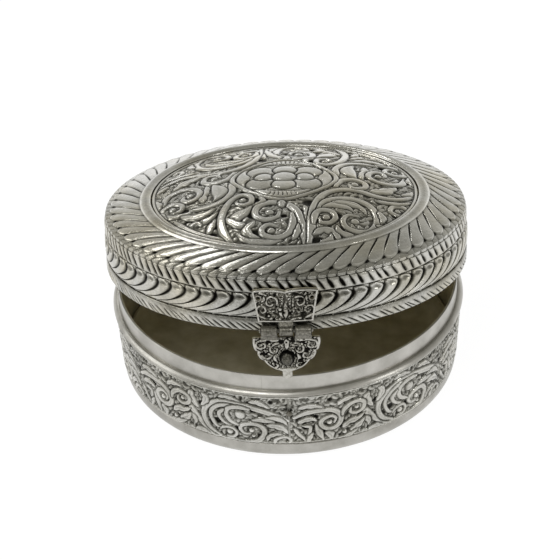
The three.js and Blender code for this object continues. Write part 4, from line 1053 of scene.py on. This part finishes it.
def medallion():
    carving = medallion_carving()
    shell = Shell()

    def dome(r, sunk):
        return DOME_FOOT + DOME_RISE * (1 - (r / DOME_RADIUS) ** 2) - sunk

    def half_turn(columns):
        return np.linspace(0.0, math.pi, columns + 1)[None, :]

    def zone(high, low, rows, columns):
        # rows of points from radius high in to radius low, over half a turn
        r = np.linspace(high, low, rows)[:, None]
        a = half_turn(columns)
        rise, tone = carving.at(r * np.cos(a), r * np.sin(a))
        return shell.patch(polar(r + 0 * a, a + MEDALLION_TURN, dome(r, DOME_CARVED * (1 - rise))), tone)

    # fewer columns towards the middle, where they lie closer
    outer = zone(MEDALLION_EDGE, 24.0, 70, 432)
    middle = zone(23.66, 12.0, 35, 216)
    inner = zone(11.66, 0.0, 34, 108)
    zipper(shell, middle[0], outer[-1], 2)
    zipper(shell, inner[0], middle[-1], 2)
    a = half_turn(108)
    r = np.array([47.5, 36.0, 18.0, 0.0])[:, None]
    rear = shell.patch(polar(r + 0 * a, a + MEDALLION_TURN, dome(r, DOME_SHEET)), 0.5, 1.0)
    zipper(shell, rear[0], outer[0], 4)
    repeated("medallion", shell, 2, "lid", ["lid_top"], "embossed_lid", 0.2, 8.0)


# Cast fittings

def tube(shell, x, length, y, z):
    # bored knuckle along X with softened ends
    soft = 0.32
    a, b = x - length / 2, x + length / 2
    section = [(a, BORE_RADIUS), (a, KNUCKLE_RADIUS - soft), (a + soft, KNUCKLE_RADIUS),
               (b - soft, KNUCKLE_RADIUS), (b, KNUCKLE_RADIUS - soft), (b, BORE_RADIUS)]
    t = np.linspace(0.0, TAU, 32, endpoint=False)[None, :]
    along, radius = np.array(section).T[:, :, None]
    points = np.stack(np.broadcast_arrays(along, y + radius * np.cos(t), z + radius * np.sin(t)), -1)
    # the knuckle's ends and bore are painted dark, a painted shade in the gaps between knuckles; the barrel
    # is lighter
    tones = np.array([0.1, 0.15, 0.62, 0.62, 0.15, 0.1])[:, None] + 0 * t
    shell.patch(points, tones, round_rows=True, round_columns=True)


def prism(shell, outline, a, b):
    # a bar along X from its outline in (y, z)
    start = shell.take(np.array([[(x, y, z) for y, z in outline] for x in (a, b)], float), 0.6, 0.0)
    n = len(outline)
    shell.faces.append([start + i for i in range(n)])
    shell.faces.append([start + n + i for i in reversed(range(n))])
    for i in range(n):
        j = (i + 1) % n
        shell.faces.append((start + i, start + j, start + n + j, start + n + i))


def round_over(edge, soft):
    return soft * (1 - np.sqrt(1 - np.clip(1 - edge / soft, 0, 1) ** 2))


def round_holes(x, h, holes):
    # drops the cells inside each hole and pulls the points beside it onto the hole's edge
    keep = np.ones(np.subtract(h.shape, 1), bool)
    for hx, hz, radius in holes:
        gap = np.hypot(x - hx, h - hz)
        gone = (gap[1:, 1:] + gap[:-1, 1:] + gap[1:, :-1] + gap[:-1, :-1]) / 4 < radius
        keep &= ~gone
        out = np.pad(gone, 1).astype(int)
        touch = out[1:, 1:] + out[:-1, 1:] + out[1:, :-1] + out[:-1, :-1]
        pull = np.where((touch > 0) & (touch < 4), radius / np.maximum(gap, 0.01), 1.0)
        x = hx + (x - hx) * pull
        h = hz + (h - hz) * pull
    return x, h, keep


def bordered(rise, tone, border, edge):
    # a plain raised border, rubbed bright but for the very edge
    return np.maximum(rise, border), np.maximum(tone, 0.95 * border) - 0.12 * np.exp(-(edge / 0.15) ** 2)


def cast_plate(shell, thick, low, high, carving, holes):
    # plate bent round the lid, with a raised edge, two arches on top and its carving
    share = np.linspace(-1.0, 1.0, 191)[None, :]
    t = np.linspace(0.0, 1.0, 101)[:, None]
    top = high + PLATE_ARCH * np.abs(np.sin(math.pi * share)) ** 0.6
    h = low + (top - low) * t
    taper = np.clip((h - low) / (high - low), 0, 1)
    taper = (PLATE_LOW_HALF + (PLATE_TOP_HALF - PLATE_LOW_HALF) * taper) / PLATE_TOP_HALF
    x, h, keep = round_holes(share * PLATE_TOP_HALF * taper, h, holes)
    edge = np.minimum(np.minimum((1 - np.abs(share)) * PLATE_LOW_HALF + 0 * h, h - low), top - h)
    rise, tone = bordered(*carving.at(x, h), 1 - smooth(0.6, 0.85, edge), edge)
    for hx, hz, radius in holes:
        collar = 1 - smooth(radius + 0.35, radius + 0.6, np.hypot(x - hx, h - hz))
        rise = np.maximum(rise, 0.9 * collar)
        tone = np.maximum(tone, 0.7 * collar)
    outer = PLATE_BACK + thick - PLATE_CARVED * (1 - rise) - round_over(edge, CAST_EDGE)
    turn = x / PLATE_BACK - math.pi / 2
    slab(shell, polar(outer, turn, h), polar(PLATE_BACK + 0 * x, turn, h), np.clip(tone, 0, 1), keep)


def plate_arm(shell, thick, low, pin):
    # the knuckle and the cast arm from the plate down to it, clear of the bore
    half = MIDDLE_KNUCKLE / 2 - 0.05
    prism(shell, [
        (-(PLATE_BACK + thick - 0.05), low + 0.4),
        (-(PLATE_BACK + 0.1), low + 0.4),
        (-(PIN_AXIS - 1.5), pin + 0.95),
        (-(PIN_AXIS + 0.9), pin + 1.35),
    ], -half, half)
    tube(shell, 0.0, MIDDLE_KNUCKLE, -PIN_AXIS, pin)


# Carving of the castings, for one side of their middle line: two half widths make a curl
PLATE_PAIRS = [
    ([(1.8, 5.2), (4.5, 5.6), (7.4, 6.0), (9.2, 7.0), (9.7, 8.8), (8.8, 10.1), (7.2, 9.9),
      (6.6, 8.5), (7.6, 7.7), (8.5, 8.5)], 0.5, 0.38),
    ([(1.2, 5.6), (2.6, 8.2), (2.6, 10.6), (3.0, 12.9), (4.8, 13.7), (6.3, 12.6), (6.1, 10.9),
      (4.7, 10.4), (4.0, 11.5), (4.8, 12.2)], 0.5, 0.36),
    ([(6.2, 14.0), (8.0, 15.0), (10.0, 14.8)], 0.55),
    ([(8.0, 11.6), (7.2, 12.8), (7.2, 14.0)], 0.6),
    ([(0.0, 5.6), (1.6, 7.4), (1.4, 9.2)], 0.7),
]
PLATE_PITS = [(5.2, 12.2, 1.0), (-6.0, 6.6, 1.1), (6.0, 6.8, 1.1), (1.7, 7.4, 0.7),
              (-9.6, 11.3, 0.6), (3.0, 14.6, 0.6), (-3.4, 14.4, 0.7)]
LEAF_PAIRS = [
    ([(0.8, 5.8), (3.6, 6.6), (6.4, 7.0), (8.2, 8.4), (8.2, 10.8), (6.6, 12.0), (4.8, 11.2),
      (4.8, 9.6), (6.2, 9.3)], 0.7, 0.45),
]
HASP_PAIRS = [
    ([(1.0, -3.6), (4.0, -3.9), (7.4, -3.7), (10.0, -4.4), (10.4, -6.2), (8.9, -7.2), (7.4, -6.5),
      (7.6, -5.2), (8.8, -5.3)], 0.5, 0.38),
    ([(1.6, -4.8), (4.0, -5.4), (5.6, -6.8), (5.4, -8.6), (3.9, -8.9), (3.2, -7.6), (4.2, -7.0)],
     0.48, 0.36),
    ([(9.1, -8.6), (8.6, -10.4), (7.0, -11.5), (5.6, -10.8), (5.9, -9.5), (7.0, -9.6)], 0.5, 0.36),
    ([(7.2, -12.4), (6.4, -14.2), (4.4, -15.4), (3.2, -14.6), (4.0, -13.4), (5.2, -13.5)], 0.5, 0.36),
    ([(3.4, -9.6), (4.2, -11.4), (3.3, -13.4)], 0.6),
]
HASP_PITS = [(-1.8, -4.4, 0.9), (2.2, -4.2, 0.8), (-6.2, -4.6, 0.8), (7.0, -8.2, 0.9),
             (-7.4, -9.2, 0.8), (4.6, -12.6, 0.8), (-4.4, -13.2, 0.7), (5.8, -5.4, 0.6)]


def latch_plate_cast():
    carving = Chasing((-12.5, 3.5), (12.5, 17.5), 0.06)
    carving.ground((-11.5, 4.6), (11.5, 16.4), 0.95, 1.0)
    carving.pairs(PLATE_PAIRS)
    carving.stroke([(0.0, 5.6), (0.1, 8.6), (0.0, 12.0)], 0.9, leaf=2, vein=0.3)
    carving.dot(-1.8, 9.0, 0.7, 1.15)
    carving.stroke([(0.0, 12.6), (0.0, 14.4)], 0.8, leaf=1)
    carving.pits(PLATE_PITS)
    carving.pepper((-11.0, 5.0), (11.0, 15.6), 64, 31)
    carving.settle(0.11, 0.5, 0.46, 0.25, 0.6)
    shell = Shell()
    cast_plate(shell, PLATE_THICK, PLATE_LOW, PLATE_HIGH, carving, [(-9.0, 13.1, 0.75), (9.0, 13.1, 0.75)])
    plate_arm(shell, PLATE_THICK, PLATE_LOW, LATCH_PIN_RISE)
    single("latch_plate_cast", shell, "lid", ["latch_plate"], "cast_fittings")


def hinge_leaf_cast():
    # the rear leaf is a simpler casting: raised edge and one pair of curls
    pin = HINGE_HEIGHT - LID_BASE
    low = pin + PLATE_LOW
    carving = Chasing((-12.5, 3.0), (12.5, 17.5), 0.06)
    carving.pairs(LEAF_PAIRS)
    carving.stroke([(0.0, 6.0), (0.0, 9.6), (0.0, 13.4)], 1.1, leaf=2, vein=0.3)
    carving.settle(0.05, 0.5)
    shell = Shell()
    cast_plate(shell, HINGE_LEAF_THICK, low, low + PLATE_HIGH - PLATE_LOW, carving, [])
    plate_arm(shell, HINGE_LEAF_THICK, low, pin)
    single("hinge_leaf_cast", shell, "lid", ["hinge_lid_leaf"], "cast_fittings",
           turn=Matrix.Rotation(math.pi, 4, "Z"))


def hasp_half_width(drop):
    # half width of the shield and its pull tab at each drop below the pin: three bends, each
    # from the place before or its own start, by way of a pulling point, to its end
    places = [(HASP_TOP, HASP_LOBE_HALF)]
    for start, pull, end in (((), (5.35, 12.08), (7.75, 10.83)),
                             ([(8.05, 9.92)], (9.5, 10.6), (11.6, 8.89)),
                             ([(11.9, 7.98)], (15.3, 6.38), (HASP_SHIELD, 2.2))):
        places += start
        first = places[-1]
        for t in np.linspace(0.0, 1.0, 13)[1:]:
            places.append([(1 - t) ** 2 * a + 2 * t * (1 - t) * b + t * t * c
                           for a, b, c in zip(first, pull, end)])
    tab = HASP_TIP - TAB_ROUND
    places += [(HASP_SHIELD + 0.4, TAB_HALF), (tab, TAB_HALF)]
    places += [(tab + TAB_ROUND * math.sin(a), max(TAB_HALF * math.cos(a), 0.3))
               for a in np.radians([20, 40, 55, 70, 80, 90])]
    return np.interp(drop, *np.array(places).T)


def hasp_carving():
    carving = Chasing((-12.5, -20.5), (12.5, -2.0), 0.06)
    carving.ground((-11.0, -16.5), (11.0, -3.0), 0.95, 1.0)
    carving.pairs(HASP_PAIRS)
    carving.stroke([(0.0, -3.4), (0.1, -5.4), (0.0, -8.0)], 0.9, leaf=2, vein=0.3)
    carving.pits(HASP_PITS)
    carving.pepper((-10.6, -16.0), (10.6, -3.2), 76, 32)
    carving.settle(0.11, 0.5, 0.52, 0.24, 0.6)
    return carving


def hasp_cast():
    u = np.linspace(-1.0, 1.0, 181)[None, :]
    s = np.linspace(HASP_TOP, HASP_TIP, 141)[:, None]
    wide = hasp_half_width(s)
    x = u * wide
    flat = -s + 0 * u
    edge = (1 - np.abs(u)) * wide
    border = np.maximum(1 - smooth(0.75, 1.05, edge), smooth(HASP_SHIELD - 1.2, HASP_SHIELD - 0.6, s))
    rise, tone = bordered(*hasp_carving().at(x, flat), border, edge)
    front = -HASP_THICK / 2 + HASP_CARVED * (1 - rise) + round_over(edge, CAST_EDGE)
    # egg-shaped hollow boss, punched from behind
    far = (x / 2.3) ** 2 + ((s - BOSS_DROP) / 2.9) ** 2
    swell = -0.2 - BOSS_RADIUS * np.sqrt(np.clip(1 - far, 0, 1))
    # the boss darkens towards its foot and a dark ring is painted round it: painted shade at its base
    tone = np.where(swell < front, 0.5 - 0.4 * smooth(0.5, 1.0, far), tone)
    tone = np.where((swell >= front) & (far < 1.35), 0.1, tone)
    front = np.minimum(front, swell)
    near = (x / BOSS_HOLLOW) ** 2 + ((s - BOSS_DROP) / BOSS_HOLLOW) ** 2
    hollow = -0.2 - BOSS_HOLLOW * np.sqrt(np.clip(1 - near, 0, 1))
    back = np.where(near < 1, hollow, HASP_THICK / 2)
    shell = Shell()
    slab(shell, np.stack([x, front, flat], -1), np.stack([x, back, flat], -1), np.clip(tone, 0, 1),
         np.ones((140, 180), bool))
    # the two knuckles, each with a short arm
    half = SIDE_KNUCKLE / 2 - 0.05
    for middle in (-SIDE_KNUCKLE_X, SIDE_KNUCKLE_X):
        tube(shell, middle, SIDE_KNUCKLE, 0.0, 0.0)
        prism(shell, [
            (HASP_THICK / 2, -1.2),
            (-1.35, -1.2),
            (-HASP_THICK / 2 + 0.05, -HASP_TOP - 0.6),
            (HASP_THICK / 2, -HASP_TOP - 0.6),
        ], middle - half, middle + half)
    single("hasp_cast", shell, "hasp", ["hasp_leaf"], "cast_fittings")


def dress_fittings():
    metal = plain_cast_metal()
    for name in ("catch_button", "hinge_body_leaf", "hinge_pin", "latch_pin"):
        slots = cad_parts[name].material_slots
        for slot in slots:
            slot.material = metal
        if not slots:
            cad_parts[name].data.materials.append(metal)


# Picture

PHOTO_SIDE = 560
SENSOR = 36.0
FOCAL = 3364.86
STANDS_OFF = 1210.87
ELEVATION = math.radians(34.784)
AZIMUTH = math.radians(1.2)
ROLL = math.radians(-2.219)
AIM = Vector((-2.728, 0.0, 35.413))


def camera():
    away = Vector((math.sin(AZIMUTH) * math.cos(ELEVATION),
                   -math.cos(AZIMUTH) * math.cos(ELEVATION), math.sin(ELEVATION)))
    right = (-away).cross(Vector((0, 0, 1))).normalized()
    up = right.cross(-away)
    x = math.cos(ROLL) * right + math.sin(ROLL) * up
    y = -math.sin(ROLL) * right + math.cos(ROLL) * up
    eye = (AIM + STANDS_OFF * away) * MM
    lens = bpy.data.cameras.new("camera")
    lens.sensor_width = SENSOR
    lens.lens = FOCAL / PHOTO_SIDE * SENSOR
    lens.clip_end = 20.0
    seen = placed("camera", lens)
    seen.matrix_world = Matrix((*zip(x, y, away, eye), (0, 0, 0, 1)))
    bpy.context.scene.camera = seen


def softbox(name, place, aim, size, power):
    data = bpy.data.lights.new(name, "AREA")
    data.shape = "RECTANGLE"
    data.size, data.size_y = size
    data.energy = power
    lamp = placed(name, data)
    lamp.location = place
    lamp.rotation_euler = (Vector(aim) - Vector(place)).to_track_quat("-Z", "Y").to_euler()


def studio():
    world = bpy.data.worlds.new("studio")
    bpy.context.scene.world = world
    tree = cleared_tree(world)
    place = add(tree, "ShaderNodeTexCoord").outputs["Generated"]
    height = add(tree, "ShaderNodeSeparateXYZ", {0: place}).outputs["Z"]
    # a pale room: bright towards the horizon, darker overhead
    walls = add(tree, "ShaderNodeValToRGB", {"Fac": height},
                stops=[(0.0, "f4f4f2"), (0.3, "dcdbd6"), (0.6, "adaca5"), (1.0, "b0afa8")])
    air = add(tree, "ShaderNodeBackground", {"Color": walls}, {"Strength": 0.83})
    add(tree, "ShaderNodeOutputWorld", {"Surface": air})
    softbox("key", (-0.45, -0.55, 0.75), (0, 0, 0.04), (0.14, 0.2), 0.8)
    softbox("front", (-0.2, -0.62, 0.8), (0, 0, 0.05), (0.3, 0.24), 1.1)
    softbox("fill", (0.7, -0.35, 0.45), (0, 0, 0.04), (0.1, 0.25), 0.6)
    softbox("back", (-0.3, 0.8, 0.7), (0, 0, 0.05), (0.3, 0.1), 0.45)
    softbox("window", (-0.95, 0.1, 0.6), (0, 0, 0.05), (0.8, 0.6), 2.6)


def floor():
    mesh = bpy.data.meshes.new("floor")
    mesh.from_pydata([(-3, -3, 0), (3, -3, 0), (3, 3, 0), (-3, 3, 0)], [], [(0, 1, 2, 3)])
    ground = placed("floor", mesh)
    material = bpy.data.materials.new("white_paper_sweep")
    tree = cleared_tree(material)
    paper = add(tree, "ShaderNodeBsdfDiffuse", values={"Color": (0.93, 0.93, 0.93, 1.0)})
    white = add(tree, "ShaderNodeEmission", values={"Color": (1.0, 1.0, 1.0, 1.0), "Strength": 1.1})
    rays = add(tree, "ShaderNodeLightPath").outputs
    seen = add(tree, "ShaderNodeMath", {0: rays["Is Camera Ray"], 1: rays["Is Glossy Ray"]}, operation="ADD")
    seen = add(tree, "ShaderNodeMath", {0: seen, 1: rays["Is Transmission Ray"]}, operation="ADD",
               use_clamp=True)
    share = add(tree, "ShaderNodeMath", {0: seen}, {1: 0.86}, operation="MULTIPLY")
    mixed = add(tree, "ShaderNodeMixShader", {0: share, 1: paper, 2: white})
    add(tree, "ShaderNodeOutputMaterial", {"Surface": mixed})
    mesh.materials.append(material)


camera()
foot_dish()
rolled_ledge()
neck_strip()
scroll_wall()
seam("wall_seam", -90.2, 0.8, 8.3, 28.2, lambda z: wall_radius(z) - 0.15, "embossed_body", 0.55)
seam("neck_seam", -98.7, 0.4, 31.6, 36.9, lambda z: NECK_RADIUS - 0.22 + 0 * z, "plain_metal", 0.85)
leaf_band()
rope_strip("rim_rope_strip", "rim_rope", 0.0, RIM_ROPE_HEIGHT, 152, 2, 2.5, cut_grain, 0.75, 9.0)
rope_strip("shoulder_rope_strip", "shoulder_rope", SKIRT_HEIGHT - SHOULDER_ROPE_HEIGHT,
           SHOULDER_ROPE_HEIGHT + 0.28, TOP_LEAVES * 2, 4, 0.8, comma_grain, 0.3, 10.0)
top_leaves()
medallion()
latch_plate_cast()
hinge_leaf_cast()
hasp_cast()
dress_fittings()
studio()
floor()
bpy.context.scene.view_settings.view_transform = "Standard"
